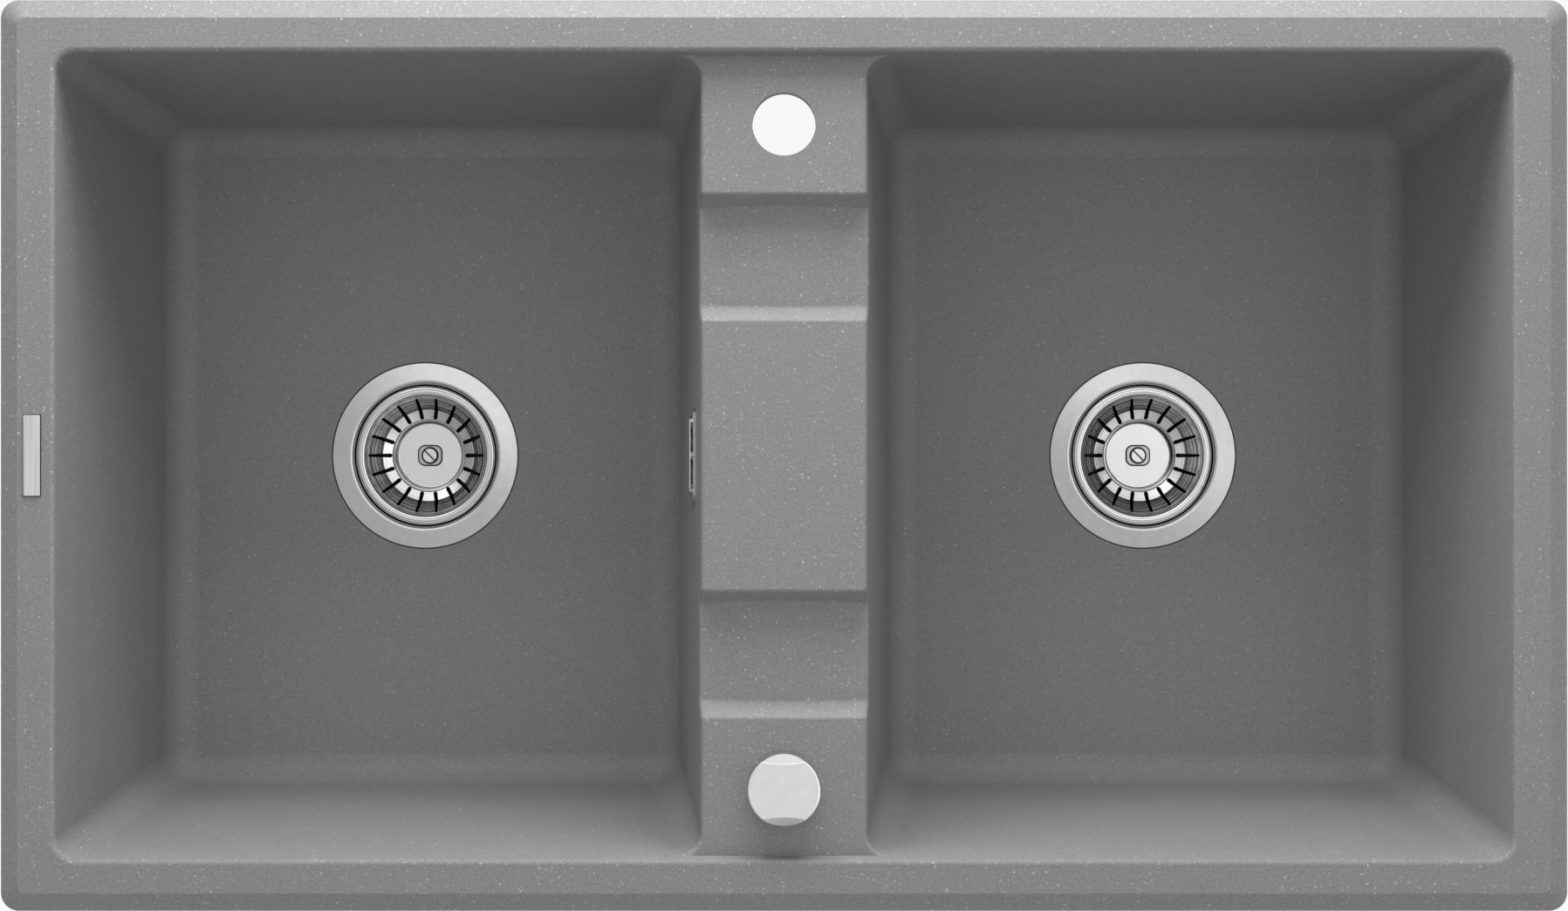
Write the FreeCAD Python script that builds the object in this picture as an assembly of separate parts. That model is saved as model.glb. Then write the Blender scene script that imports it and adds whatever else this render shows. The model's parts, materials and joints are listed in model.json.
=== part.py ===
import FreeCAD, Part
import math
import os

# Double-bowl inset kitchen sink in granite composite,
# with its wastes, overflow, control knob, pipes and clips.
# Millimetres. The origin is the middle of the sink in the plane of the worktop that the rim rests on.
# +X is to the right along the length, +Y to the back where the tap stands, +Z up.

Vector = FreeCAD.Vector
UP = Vector(0, 0, 1)
RIGHT = Vector(1, 0, 0)
BACK = Vector(0, 1, 0)

# Shared by all pieces
overrun = 1.0
running_fit = 0.05
loose_fit = 0.3
seat_gap = 0.2
thread_gap = 0.1

# Rim and opening
sink_length = 860.0
sink_width = 500.0
rim_corner_radius = 10.0
rim_top_corner_radius = 5.0
rim_height = 8.0
rim_lip_height = 1.5
rim_bevel_run = 10.5
rim_flat_side = 20.2
rim_flat_end = 18.3
seat_width = 12.0
seat_corner_radius = 6.0
slab_depth = 12.0

# Bowls
wall_draft_share = 0.105
bowl_depth = 198.0
opening_corner_radius = 12.0
floor_corner_radius = 20.0
floor_fillet = 18.0
wall = 8.0
opening_edge_radius = 2.8

# Divider between the bowls, with its ledges, platform and two saddles
divider_width = 91.2
ledge_drop = 9.5
platform_length = 149.6
saddle_length = 69.0
saddle_drop = 11.0
saddle_step_run = 6.0
saddle_crown = 2.0
saddle_wall = 9.0
saddle_toe_radius = 3.0
ledge_edge_radius = 2.5
ledge_toe_reach = 6.0
ledge_hole_inset = 67.5
tap_hole_radius = 17.5
knob_hole_radius = 14.0

# Badge plate on the left rim
badge_length = 44.2
badge_width = 9.2
badge_thickness = 1.4
badge_pocket_depth = 0.5
badge_corner_radius = 0.4
badge_edge_radius = 0.2
badge_inset = 18.8

# Fixing clips under the rim
clip_side_share = 0.34
clip_wall_gap = 6.5
clip_boss_size = 15.0
clip_boss_height = 8.0
insert_radius = 4.5
insert_length = 12.0
fixing_screw_radius = 3.0
fixing_screw_head_radius = 5.2
fixing_screw_head_height = 4.0
fixing_screw_bite = 9.0
clip_drop = 48.0
clip_width = 12.0
clip_length = 36.0
clip_thickness = 2.5
clip_bend_share = 0.8
clip_tooth_height = 8.0
driver_slot_width = 1.2
driver_slot_depth = 1.5

# Strainer flange, a pressed steel bowl in the floor of each sink bowl
drain_offset = 222.1
flange_radius = 57.0
flange_proud = 0.3
strainer_sheet = 1.2
flange_throat_radius = 44.5
flange_bend = 2.0
strainer_wall_depth = 22.0
strainer_floor_radius = 37.0
strainer_bend = 4.5
well_radius = 21.6
well_depth = 40.0
well_bend = 1.5
well_hole_radius = 5.0
well_hole_count = 6
well_hole_place_radius = 13.5
clamp_hole_radius = 5.3
flange_gasket_thickness = 1.5
flange_gasket_bore_radius = 48.5
floor_hole_radius = 46.3
seat_ring_gap = 1.0

# Basket
basket_sheet = 0.9
lip_outer_radius = 43.1
lip_inner_radius = 38.2
lip_depth = 1.5
lip_drop = 5.0
lip_bend = 2.0
slot_outer_radius = 35.8
slot_inner_radius = 22.8
slot_foot_width = 2.6
slot_tip_width = 1.8
slot_count = 18
cup_foot_radius = 28.8
cup_foot_depth = 15.4
cup_bend = 1.6
step_radius = 22.6
step_depth = 17.6
step_bend = 1.2
disc_radius = 20.4
disc_depth = 24.4
disc_bend = 1.2
pad_length = 14.6
pad_width = 12.4
pad_corner_radius = 4.2
pad_height = 1.2
pad_edge_radius = 0.5
basket_screw_radius = 2.0
basket_screw_head_radius = 4.4
basket_screw_head_height = 1.8
basket_screw_edge_radius = 0.5
basket_screw_length = 8.0
stem_radius = 5.0
stem_length = 8.8
plug_seal_radius = 26.5
plug_seal_thickness = 3.8
plug_seal_lip = 1.4

# Waste body under each bowl
floor_gasket_thickness = 2.5
floor_gasket_bore_radius = 46.6
body_flange_radius = 53.0
body_flange_thickness = 4.0
body_wall = 2.6
body_throat_radius = 48.6
body_throat_depth = 13.0
chamber_radius = 32.0
chamber_top_depth = 44.0
chamber_depth = 91.0
spider_boss_radius = 9.0
spider_boss_length = 12.0
spider_rib_width = 3.0
spider_rib_height = 7.0
spider_rib_count = 3
clamp_screw_radius = 5.0
clamp_head_radius = 8.0
clamp_head_height = 3.0
clamp_bore_radius = 3.1
outlet_drop = 66.0
outlet_reach = 72.0
pipe_radius = 20.0
pipe_wall = 2.0
socket_depth = 26.0
thread_radius = 23.9
overflow_inlet_drop = 20.0
overflow_inlet_reach = 68.0
spigot_radius = 9.6
spigot_bore_radius = 7.6

# Lifting gear in the left waste body
lever_offset = 14.0
lever_drop = 56.0
lever_shaft_radius = 3.0
lever_finger_width = 8.0
lever_finger_thickness = 4.0
lever_crank_length = 12.0
lever_crank_tilt = 15.0
lever_boss_radius = 9.0
lever_boss_face = 42.0
gland_radius = 6.0
gland_length = 13.0
gland_head_length = 2.0
actuator_size = 38.0
actuator_depth = 17.0
actuator_wall = 2.0
actuator_corner_radius = 5.0

# Slip nuts, cone washers and pipes
nut_radius = 29.0
nut_length = 22.0
nut_lip = 4.0
nut_rib_count = 12
nut_rib_width = 4.0
cone_length = 6.0
cone_nose_length = 3.5
cone_nose_radius = 21.6
pipe_nut_gap = 0.3
tee_reach = 40.0
tee_outlet_length = 58.0
outlet_collar_length = 26.0
inlet_radius = 13.0
inlet_bore_radius = 10.0
inlet_reach = 42.0
cap_radius = 16.5
cap_length = 14.0
cap_face = 3.0
cap_rib_count = 10
cap_rib_width = 2.5
cap_washer_thickness = 2.0

# Overflow fitting on the divider wall of the left bowl
overflow_depth = 66.5
overflow_base_length = 54.0
overflow_base_height = 32.0
overflow_base_thickness = 1.5
overflow_base_corner = 6.0
overflow_cover_length = 44.0
overflow_cover_height = 26.0
overflow_cover_proud = 1.9
overflow_cover_sheet = 0.7
overflow_cover_end = 3.0
overflow_cover_corner = 3.0
overflow_slot_length = 36.0
overflow_slot_height = 16.0
overflow_slot_corner = 7.8
overflow_screw_radius = 2.5
overflow_screw_head_radius = 4.5
overflow_screw_length = 20.0
overflow_gasket_thickness = 2.0
overflow_elbow_length = 48.0
overflow_elbow_height = 28.0
overflow_elbow_flange = 2.0
overflow_elbow_depth = 20.0
overflow_elbow_wall = 2.0
overflow_post_radius = 4.5
overflow_tail_offset = 30.5
overflow_tail_length = 40.0

# Overflow hose
hose_bend = 60.0
hose_crest_radius = 12.2
hose_valley_radius = 11.0
hose_bore_radius = 9.8
hose_rib_pitch = 4.4
hose_rib_shares = (0.2, 0.4, 0.8)
hose_cuff = 24.0
hose_grip = 18.0
hose_clip_width = 8.0
hose_clip_thickness = 1.0
hose_clip_ear = 6.0
hose_clip_ear_width = 6.4

# Control knob on the front ledge
knob_radius = 20.0
knob_height = 17.0
knob_floor_gap = 0.5
knob_bar_width = 29.4
knob_scoop_radius = 90.0
knob_scoop_tilt = 42.0
knob_edge_radius = 1.0
knob_skirt_radius = 18.0
knob_skirt_depth = 4.5
grub_screw_radius = 2.0
grub_screw_length = 7.0
grub_screw_height = 5.5
spindle_radius = 4.0
spindle_top_gap = 3.5
housing_flange_radius = 17.0
housing_flange_thickness = 2.5
housing_barrel_radius = 13.7
housing_length = 28.0
knob_gasket_thickness = 1.0
knob_washer_radius = 20.0
knob_washer_thickness = 2.0
knob_nut_radius = 18.5
knob_nut_thickness = 8.0
drum_radius = 15.0
drum_height = 9.0
drum_groove_depth = 2.5
drum_groove_height = 3.0
box_radius = 21.0
box_wall = 2.0
box_height = 16.0
box_lid_thickness = 2.0
cable_offset = 14.0
ferrule_radius = 4.0
ferrule_length = 10.0
cable_radius = 2.5
cable_core_radius = 0.9
cable_arc_share = 0.45

# Heights and half sizes worked out from the sizes above
opening_half_x = sink_length / 2 - rim_bevel_run - rim_flat_side
opening_half_y = sink_width / 2 - rim_bevel_run - rim_flat_end
ledge_hole_offset = sink_width / 2 - ledge_hole_inset
floor_z = rim_height - bowl_depth
underside_z = floor_z - wall
ledge_z = rim_height - ledge_drop
saddle_z = ledge_z - saddle_drop
flange_top_z = floor_z + flange_proud
body_top_z = underside_z - floor_gasket_thickness
outlet_z = body_top_z - outlet_drop
lever_z = body_top_z - lever_drop
chamber_foot_z = body_top_z - chamber_depth
clip_z = -clip_drop
disc_under_z = flange_top_z - disc_depth - basket_sheet / 2
stem_foot_z = disc_under_z - stem_length
seal_foot_z = disc_under_z - plug_seal_thickness
strainer_floor_z = seal_foot_z - seat_gap - strainer_sheet / 2
well_floor_z = flange_top_z - well_depth + strainer_sheet / 2
well_under_z = well_floor_z - strainer_sheet
pipe_bore_radius = pipe_radius - pipe_wall
shoulder_half_x = sink_length / 2 - seat_width
shoulder_half_y = sink_width / 2 - seat_width


# Plain shapes

def at(x, y, z):
    return Vector(x, y, z)


def rod(radius, start, direction, length):
    return Part.makeCylinder(radius, length, start, direction)


def tube(outer, inner, start, direction, length):
    return rod(outer, start, direction, length).cut(rod(inner, start, direction, length))


def block(low, high):
    size = high - low
    return Part.makeBox(size.x, size.y, size.z, low)


def joined(shapes):
    first, rest = shapes[0], shapes[1:]
    if not rest:
        return first
    return first.fuse(rest).removeSplitter()


def line(start, end):
    return Part.LineSegment(start, end).toShape()


def rounded_path(points, radii):
    """Straight runs through the points, joined by tangent arcs of the given radii, one for each corner."""
    edges = []
    last = points[0]
    for before, corner, after, radius in zip(points, points[1:], points[2:], radii):
        behind = (before - corner).normalize()
        ahead = (after - corner).normalize()
        half_turn = (math.pi - behind.getAngle(ahead)) / 2
        reach = radius * math.tan(half_turn)
        start = corner + behind * reach
        end = corner + ahead * reach
        inward = (behind + ahead).normalize()
        middle = corner + inward * (radius / math.cos(half_turn) - radius)
        edges.append(line(last, start))
        edges.append(Part.Arc(start, middle, end).toShape())
        last = end
    edges.append(line(last, points[-1]))
    return edges


def shifted(points, shift):
    """A polyline in the XZ plane moved sideways by a distance, mitred at each corner."""
    directions = [(after - before).normalize() for before, after in zip(points, points[1:])]
    normals = [Vector(-way.z, 0, way.x) for way in directions]
    moved = [points[0] + normals[0] * shift]
    for corner, first, second in zip(points[1:], normals, normals[1:]):
        middle = (first + second).normalize()
        moved.append(corner + middle * (shift / middle.dot(first)))
    moved.append(points[-1] + normals[-1] * shift)
    return moved


def sheet_section(places, bends, thickness):
    """The section of bent sheet: a middle line of (radius, height) places, with a bend at each corner."""
    middle = [Vector(radius, 0, height) for radius, height in places]
    sides = []
    for shift in (thickness / 2, -thickness / 2):
        radii = []
        for before, corner, after, bend in zip(middle, middle[1:], middle[2:], bends):
            first = corner - before
            second = after - corner
            turn = 1 if first.x * second.z - first.z * second.x > 0 else -1
            radii.append(bend - turn * shift)
        sides.append(Part.Wire(rounded_path(shifted(middle, shift), radii)))
    left, right = sides
    first_ends = [side.Edges[0].Vertexes[0].Point for side in sides]
    last_ends = [side.Edges[-1].Vertexes[-1].Point for side in sides]
    outline = left.Edges + right.Edges + [line(*first_ends), line(*last_ends)]
    return Part.Face(Part.Wire(Part.__sortEdges__(outline)))


def turned(section, centre):
    """A section in the XZ plane turned all round the vertical line through a place."""
    solid = section.revolve(Vector(0, 0, 0), UP, 360)
    solid.translate(Vector(centre.x, centre.y, 0))
    return Part.Solid(solid) if solid.ShapeType == "Shell" else solid


def turned_outline(places, centre):
    points = [Vector(radius, 0, height) for radius, height in places]
    return turned(Part.Face(Part.makePolygon(points + points[:1])), centre)


def rounded_rectangle(low_x, high_x, half_y, radius, z):
    corners = [
        (high_x - radius, half_y - radius, 0),
        (low_x + radius, half_y - radius, 90),
        (low_x + radius, radius - half_y, 180),
        (high_x - radius, radius - half_y, 270),
    ]
    arcs = []
    for x, y, start in corners:
        points = []
        for angle in (start, start + 45, start + 90):
            turn = math.radians(angle)
            points.append(Vector(x + radius * math.cos(turn), y + radius * math.sin(turn), z))
        arcs.append(points)
    edges = []
    for points, following in zip(arcs, arcs[1:] + arcs[:1]):
        edges.append(Part.Arc(*points).toShape())
        edges.append(line(points[2], following[0]))
    return Part.Wire(edges)


def rounded_block(low_x, high_x, half_y, radius, low_z, high_z):
    outline = rounded_rectangle(low_x, high_x, half_y, radius, low_z)
    return Part.Face(outline).extrude(Vector(0, 0, high_z - low_z))


def edges_where(shape, test):
    return [edge for edge in shape.Edges if test(edge)]


def mid(edge):
    return edge.valueAt((edge.FirstParameter + edge.LastParameter) / 2)


# The granite-composite moulding

def bowl_outline(side, grow, z):
    """The outline of a bowl at a height: side is -1 for the left bowl and 1 for the right."""
    fall = rim_height - z
    far = opening_half_x - wall_draft_share * fall + grow
    near = divider_width / 2 + wall_draft_share * (ledge_z - z) - grow
    half_y = opening_half_y - wall_draft_share * fall + grow
    spread = (floor_corner_radius - opening_corner_radius) / bowl_depth
    radius = opening_corner_radius + spread * fall + grow
    low, high = (near, far) if side > 0 else (-far, -near)
    return rounded_rectangle(low, high, half_y, radius, z)


def bowl_solid(side, grow, top_z, foot_z):
    """A bowl as a solid with drafted walls and a round foot. Grown by the wall, it is the outside."""
    solid = Part.makeLoft([bowl_outline(side, grow, foot_z), bowl_outline(side, grow, top_z)], True, True)
    foot = edges_where(solid, lambda edge: abs(mid(edge).z - foot_z) < seat_gap)
    return solid.makeFillet(floor_fillet + grow, foot)


def opening_cut():
    """Both bowls and the lowered space over the divider, as one solid to take out of the moulding."""
    bowls = [bowl_solid(side, 0, rim_height + overrun, floor_z) for side in (-1, 1)]
    half_x = divider_width / 2 + floor_corner_radius
    low_half_y = opening_half_y - wall_draft_share * ledge_drop
    high_half_y = opening_half_y + wall_draft_share * overrun
    section = Part.makePolygon([
        Vector(-half_x, -low_half_y, ledge_z),
        Vector(-half_x, low_half_y, ledge_z),
        Vector(-half_x, high_half_y, rim_height + overrun),
        Vector(-half_x, -high_half_y, rim_height + overrun),
        Vector(-half_x, -low_half_y, ledge_z),
    ])
    over_divider = Part.Face(section).extrude(Vector(2 * half_x, 0, 0))
    return joined([over_divider] + bowls)


def saddle_cut(sign):
    """A saddle between tap ledge and platform: sloped steps at its ends and a slightly crowned floor."""
    half_x = divider_width / 2 + saddle_drop
    near = platform_length / 2
    far = near + saddle_length
    slope = saddle_step_run / saddle_drop
    rise = overrun * slope
    foot = saddle_drop + 2 * saddle_crown
    points = [
        Vector(-half_x, sign * (near - rise), ledge_z + overrun),
        Vector(-half_x, sign * (near + foot * slope), ledge_z - foot),
        Vector(-half_x, sign * (far - foot * slope), ledge_z - foot),
        Vector(-half_x, sign * (far + rise), ledge_z + overrun),
    ]
    wedge = Part.Face(Part.makePolygon(points + points[:1])).extrude(Vector(2 * half_x, 0, 0))
    half_width = divider_width / 2
    crown_radius = (half_width ** 2 + saddle_crown ** 2) / (2 * saddle_crown)
    crown_low = min(sign * near, sign * far) - saddle_length
    crown_middle = at(0, crown_low, saddle_z - crown_radius)
    crown = rod(crown_radius, crown_middle, BACK, 3 * saddle_length)
    crown.rotate(crown_middle, BACK, 180)
    return wedge.cut(crown)


def clip_places():
    """Each clip's screw: its place, and the outward direction in degrees that it turns to."""
    side_x = sink_length * clip_side_share
    edge_y = shoulder_half_y - clip_wall_gap
    edge_x = shoulder_half_x - clip_wall_gap
    places = []
    for x in (-side_x, 0, side_x):
        places.append((x, edge_y, 90))
        places.append((x, -edge_y, -90))
    places.append((edge_x, 0, 0))
    places.append((-edge_x, 0, 180))
    return places


def clip_bosses():
    half = clip_boss_size / 2
    bosses = []
    for x, y, heading in clip_places():
        outward = Vector(math.cos(math.radians(heading)), math.sin(math.radians(heading)), 0)
        inward = outward * (wall / 2)
        reach = Vector(abs(outward.x), abs(outward.y), 0) * (clip_wall_gap - half)
        low = at(x - half, y - half, -slab_depth - clip_boss_height) - reach
        high = at(x + half, y + half, -slab_depth + overrun) + reach
        box = block(low, high)
        moved = box.copy()
        moved.translate(inward * -1)
        bosses.append(box.fuse(moved))
    return bosses


def sink_moulding():
    half_x, half_y = sink_length / 2, sink_width / 2
    lip = rounded_block(-half_x, half_x, half_y, rim_corner_radius, 0, rim_lip_height)
    top_x, top_y = half_x - rim_bevel_run, half_y - rim_bevel_run
    bevel = Part.makeLoft([
        rounded_rectangle(-half_x, half_x, half_y, rim_corner_radius, rim_lip_height),
        rounded_rectangle(-top_x, top_x, top_y, rim_top_corner_radius, rim_height),
    ], True, True)
    slab = rounded_block(-shoulder_half_x, shoulder_half_x, shoulder_half_y, seat_corner_radius,
                         -slab_depth, 0)
    outsides = [bowl_solid(side, wall, -slab_depth / 2, underside_z) for side in (-1, 1)]
    near = platform_length / 2 - saddle_wall
    far = platform_length / 2 + saddle_length + saddle_wall
    bridges = []
    for low_y, high_y in ((near, far), (-far, -near)):
        low = at(-divider_width / 2, low_y, saddle_z - saddle_crown - saddle_wall)
        bridges.append(block(low, at(divider_width / 2, high_y, -slab_depth / 2)))
    body = joined([lip, bevel, slab] + outsides + bridges + clip_bosses())
    body = body.cut([opening_cut(), saddle_cut(1), saddle_cut(-1)])
    body = with_soft_edges(body.removeSplitter())
    cuts = []
    for side in (-1, 1):
        centre = at(side * drain_offset, 0, 0)
        seat_z = flange_top_z - strainer_sheet - flange_gasket_thickness
        seat_radius = flange_radius + seat_ring_gap
        cuts.append(rod(seat_radius, centre + UP * seat_z, UP, wall))
        cuts.append(rod(floor_hole_radius, centre + UP * (underside_z - overrun), UP, 2 * wall))
    ledge_cut = slab_depth + overrun
    cuts.append(rod(tap_hole_radius, at(0, ledge_hole_offset, -ledge_cut), UP, 2 * ledge_cut))
    cuts.append(rod(knob_hole_radius, at(0, -ledge_hole_offset, -ledge_cut), UP, 2 * ledge_cut))
    for x, y, heading in clip_places():
        cuts.append(rod(insert_radius, at(x, y, -slab_depth - clip_boss_height), UP, insert_length))
    pocket = block(at(0, 0, 0), at(badge_width, badge_length, 2 * badge_thickness))
    pocket.translate(at(badge_x() - badge_width / 2, -badge_length / 2, rim_height - badge_pocket_depth))
    cuts.append(pocket)
    cuts.append(on_overflow_wall(overflow_slot(0, -wall - overrun, overrun)))
    return body.cut(cuts)


def with_soft_edges(body):
    """Rounds what the mould rounds: the saddles' toes and steps, the divider's sides and the opening."""
    half_width = divider_width / 2
    inside_y = opening_half_y - wall_draft_share * ledge_drop
    steps = (platform_length / 2, platform_length / 2 + saddle_length)

    def is_saddle_toe(place):
        return abs(place.x) < seat_gap and abs(place.z - saddle_z) < seat_gap and abs(place.y) < inside_y

    def is_step_top(place):
        on_step = min(abs(abs(place.y) - step) for step in steps) < seat_gap
        return on_step and abs(place.z - ledge_z) < seat_gap and abs(place.x) < seat_gap

    def is_divider_side(place):
        near_side = abs(abs(place.x) - half_width) < ledge_toe_reach
        level = saddle_z - 2 * saddle_crown < place.z < ledge_z + seat_gap
        return near_side and level and abs(place.y) < inside_y - seat_gap

    def is_opening_edge(place):
        inside = abs(place.x) < opening_half_x + seat_gap and abs(place.y) < opening_half_y + seat_gap
        return inside and abs(place.z - rim_height) < seat_gap

    rounds = [
        (saddle_toe_radius, is_saddle_toe),
        (ledge_edge_radius, is_step_top),
        (ledge_edge_radius, is_divider_side),
        (opening_edge_radius, is_opening_edge),
    ]
    for radius, test in rounds:
        body = body.makeFillet(radius, [edge for edge in body.Edges if test(mid(edge))])
    return body


def badge_x():
    return -(sink_length / 2 - badge_inset)


def badge_plate():
    foot_z = rim_height - badge_pocket_depth
    top_z = foot_z + badge_thickness
    half = badge_width / 2
    plate = rounded_block(-half, half, badge_length / 2, badge_corner_radius, foot_z, top_z)
    top_edges = edges_where(plate, lambda edge: abs(mid(edge).z - top_z) < seat_gap)
    plate = plate.makeFillet(badge_edge_radius, top_edges)
    plate.translate(at(badge_x(), 0, 0))
    return plate


# Fixing clips

def fixing_inserts():
    foot = -slab_depth - clip_boss_height
    return Part.makeCompound([
        tube(insert_radius, fixing_screw_radius + thread_gap, at(x, y, foot), UP, insert_length)
        for x, y, heading in clip_places()
    ])


def hexagon(radius, centre, height):
    points = []
    for step in range(7):
        turn = math.radians(step * 60)
        points.append(centre + Vector(radius * math.cos(turn), radius * math.sin(turn), 0))
    return Part.Face(Part.makePolygon(points)).extrude(UP * height)


def fixing_screws():
    screws = []
    for x, y, heading in clip_places():
        head_top = clip_z - clip_thickness / 2 - running_fit
        top = -slab_depth - clip_boss_height + fixing_screw_bite
        shank = rod(fixing_screw_radius, at(x, y, head_top - overrun), UP, top - head_top + overrun)
        head_centre = at(x, y, head_top - fixing_screw_head_height)
        head = hexagon(fixing_screw_head_radius, head_centre, fixing_screw_head_height)
        half_slot = Vector(driver_slot_width / 2, fixing_screw_head_radius, 0)
        slot = block(head_centre - half_slot, head_centre + half_slot + UP * driver_slot_depth)
        screws.append(shank.fuse(head).cut(slot).removeSplitter())
    return Part.makeCompound(screws)


def fixing_clip(x, y, heading):
    """A steel arm with a tooth at its far end, parked along the rim, a quarter turn from where it grips."""
    half = clip_width / 2
    low_z = clip_z - clip_thickness / 2
    reach = clip_length - half
    arm = block(at(0, -half, low_z), at(reach, half, low_z + clip_thickness))
    eye = rod(half, at(0, 0, low_z), UP, clip_thickness)
    tooth = block(at(reach - clip_thickness, -half, low_z), at(reach, half, low_z + clip_tooth_height))
    clip = joined([arm, eye, tooth])
    corner = at(reach, 0, low_z)
    bend = edges_where(clip, lambda edge: mid(edge).distanceToPoint(corner) < seat_gap)
    clip = clip.makeFillet(clip_thickness * clip_bend_share, bend)
    clip = clip.cut(rod(fixing_screw_radius + running_fit, at(0, 0, low_z - overrun), UP, wall))
    clip.rotate(at(0, 0, 0), UP, heading - 90)
    clip.translate(at(x, y, 0))
    return clip


# Strainer flanges, gaskets and waste bodies

def strainer_flange(centre):
    top = flange_top_z - strainer_sheet / 2
    places = [
        (flange_radius, top),
        (flange_throat_radius, top),
        (flange_throat_radius, flange_top_z - strainer_wall_depth),
        (strainer_floor_radius, strainer_floor_z),
        (well_radius, strainer_floor_z),
        (well_radius, flange_top_z - well_depth),
        (clamp_hole_radius, flange_top_z - well_depth),
    ]
    bends = [flange_bend, strainer_bend, strainer_bend, well_bend, well_bend]
    flange = turned(sheet_section(places, bends, strainer_sheet), centre)
    holes = []
    for step in range(well_hole_count):
        turn = math.radians(step * 360 / well_hole_count)
        place = centre + Vector(math.cos(turn), math.sin(turn), 0) * well_hole_place_radius
        holes.append(rod(well_hole_radius, place + UP * (flange_top_z - well_depth - wall), UP, 2 * wall))
    return flange.cut(holes)


def flange_gasket(centre):
    foot = flange_top_z - strainer_sheet - flange_gasket_thickness
    return tube(flange_radius, flange_gasket_bore_radius, centre + UP * foot, UP, flange_gasket_thickness)


def floor_gasket(centre):
    foot = centre + UP * body_top_z
    return tube(body_flange_radius, floor_gasket_bore_radius, foot, UP, floor_gasket_thickness)


def waste_shell(centre):
    """The funnel and chamber of a waste body, without its branches."""
    top = body_top_z
    foot = chamber_foot_z
    outer = [
        (0, top),
        (body_flange_radius, top),
        (body_flange_radius, top - body_flange_thickness),
        (body_throat_radius, top - body_flange_thickness),
        (body_throat_radius, top - body_throat_depth),
        (chamber_radius, top - chamber_top_depth),
        (chamber_radius, foot),
        (0, foot),
    ]
    inner = [
        (0, top + overrun),
        (body_throat_radius - body_wall, top + overrun),
        (body_throat_radius - body_wall, top - body_throat_depth),
        (chamber_radius - body_wall, top - chamber_top_depth),
        (chamber_radius - body_wall, foot + body_wall),
        (0, foot + body_wall),
    ]
    return turned_outline(outer, centre), turned_outline(inner, centre)


def spider(centre):
    """The boss that takes the clamp screw, held to the wall by ribs that let the water past."""
    top = well_under_z - seat_gap
    boss = rod(spider_boss_radius, centre + UP * (top - spider_boss_length), UP, spider_boss_length)
    ribs = []
    for step in range(spider_rib_count):
        rib = block(at(0, -spider_rib_width / 2, top - spider_boss_length),
                    at(chamber_radius, spider_rib_width / 2, top - spider_boss_length + spider_rib_height))
        rib.rotate(at(0, 0, 0), UP, 60 + step * 360 / spider_rib_count)
        rib.translate(centre)
        ribs.append(rib)
    bore_foot = centre + UP * (top - 2 * spider_boss_length)
    bore = rod(clamp_screw_radius + thread_gap, bore_foot, UP, 3 * spider_boss_length)
    return joined([boss] + ribs).cut(bore)


def waste_body(side):
    """Waste body of one bowl: its outlet and overflow inlet point to the middle of the sink."""
    centre = at(side * drain_offset, 0, 0)
    inward = RIGHT * -side
    outer, inner = waste_shell(centre)
    outlet_start = centre + UP * outlet_z
    solids = [outer, rod(thread_radius, outlet_start, inward, outlet_reach)]
    socket_start = outlet_start + inward * (outlet_reach - socket_depth)
    voids = [
        inner,
        rod(pipe_bore_radius, outlet_start, inward, outlet_reach),
        rod(pipe_radius + thread_gap, socket_start, inward, socket_depth + overrun),
    ]
    if side < 0:
        inlet_start = centre + UP * (body_top_z - overflow_inlet_drop)
        solids.append(rod(spigot_radius, inlet_start, inward, overflow_inlet_reach))
        voids.append(rod(spigot_bore_radius, inlet_start, inward, overflow_inlet_reach + overrun))
        lever_line = at(centre.x - lever_offset, 0, lever_z)
        solids.append(rod(lever_boss_radius, lever_line, BACK * -1, lever_boss_face))
        voids.append(rod(gland_radius + thread_gap, lever_line, BACK * -1, lever_boss_face + overrun))
    return joined(solids).cut(voids).fuse(spider(centre)).removeSplitter()


def clamp_screw(centre, head_height, hollow):
    head = rod(clamp_head_radius, centre + UP * well_floor_z, UP, head_height)
    length = strainer_sheet + seat_gap + spider_boss_length
    shank = rod(clamp_screw_radius, centre + UP * (well_floor_z - length), UP, length + overrun)
    screw = head.fuse(shank).removeSplitter()
    if hollow:
        return screw.cut(rod(clamp_bore_radius, centre + UP * (well_floor_z - 2 * length), UP, 3 * length))
    top = centre + UP * (well_floor_z + head_height)
    half = Vector(clamp_head_radius, driver_slot_width, 0)
    return screw.cut(block(top - half - UP * driver_slot_depth, top + half + UP * overrun))


# Baskets

def basket(centre):
    top = flange_top_z
    places = [
        (lip_outer_radius, top - lip_drop),
        (lip_outer_radius, top - lip_depth),
        (lip_inner_radius, top - lip_depth),
        (cup_foot_radius, top - cup_foot_depth),
        (step_radius, top - step_depth),
        (disc_radius, top - disc_depth),
        (basket_screw_radius + loose_fit, top - disc_depth),
    ]
    bends = [lip_bend, lip_bend, cup_bend, step_bend, disc_bend]
    cup = turned(sheet_section(places, bends, basket_sheet), centre)
    pad_foot = top - disc_depth - basket_sheet / 2
    pad_top = pad_foot + basket_sheet + pad_height
    half_length = pad_length / 2
    pad = rounded_block(-half_length, half_length, pad_width / 2, pad_corner_radius, pad_foot, pad_top)
    pad_rims = edges_where(pad, lambda edge: abs(mid(edge).z - pad_top) < seat_gap)
    pad = pad.makeFillet(pad_edge_radius, pad_rims)
    pad.translate(centre)
    screw_hole = rod(basket_screw_radius + loose_fit, centre + UP * (pad_foot - overrun), UP, wall)
    return joined([cup, pad]).cut(basket_slots(centre) + [screw_hole])


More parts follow.
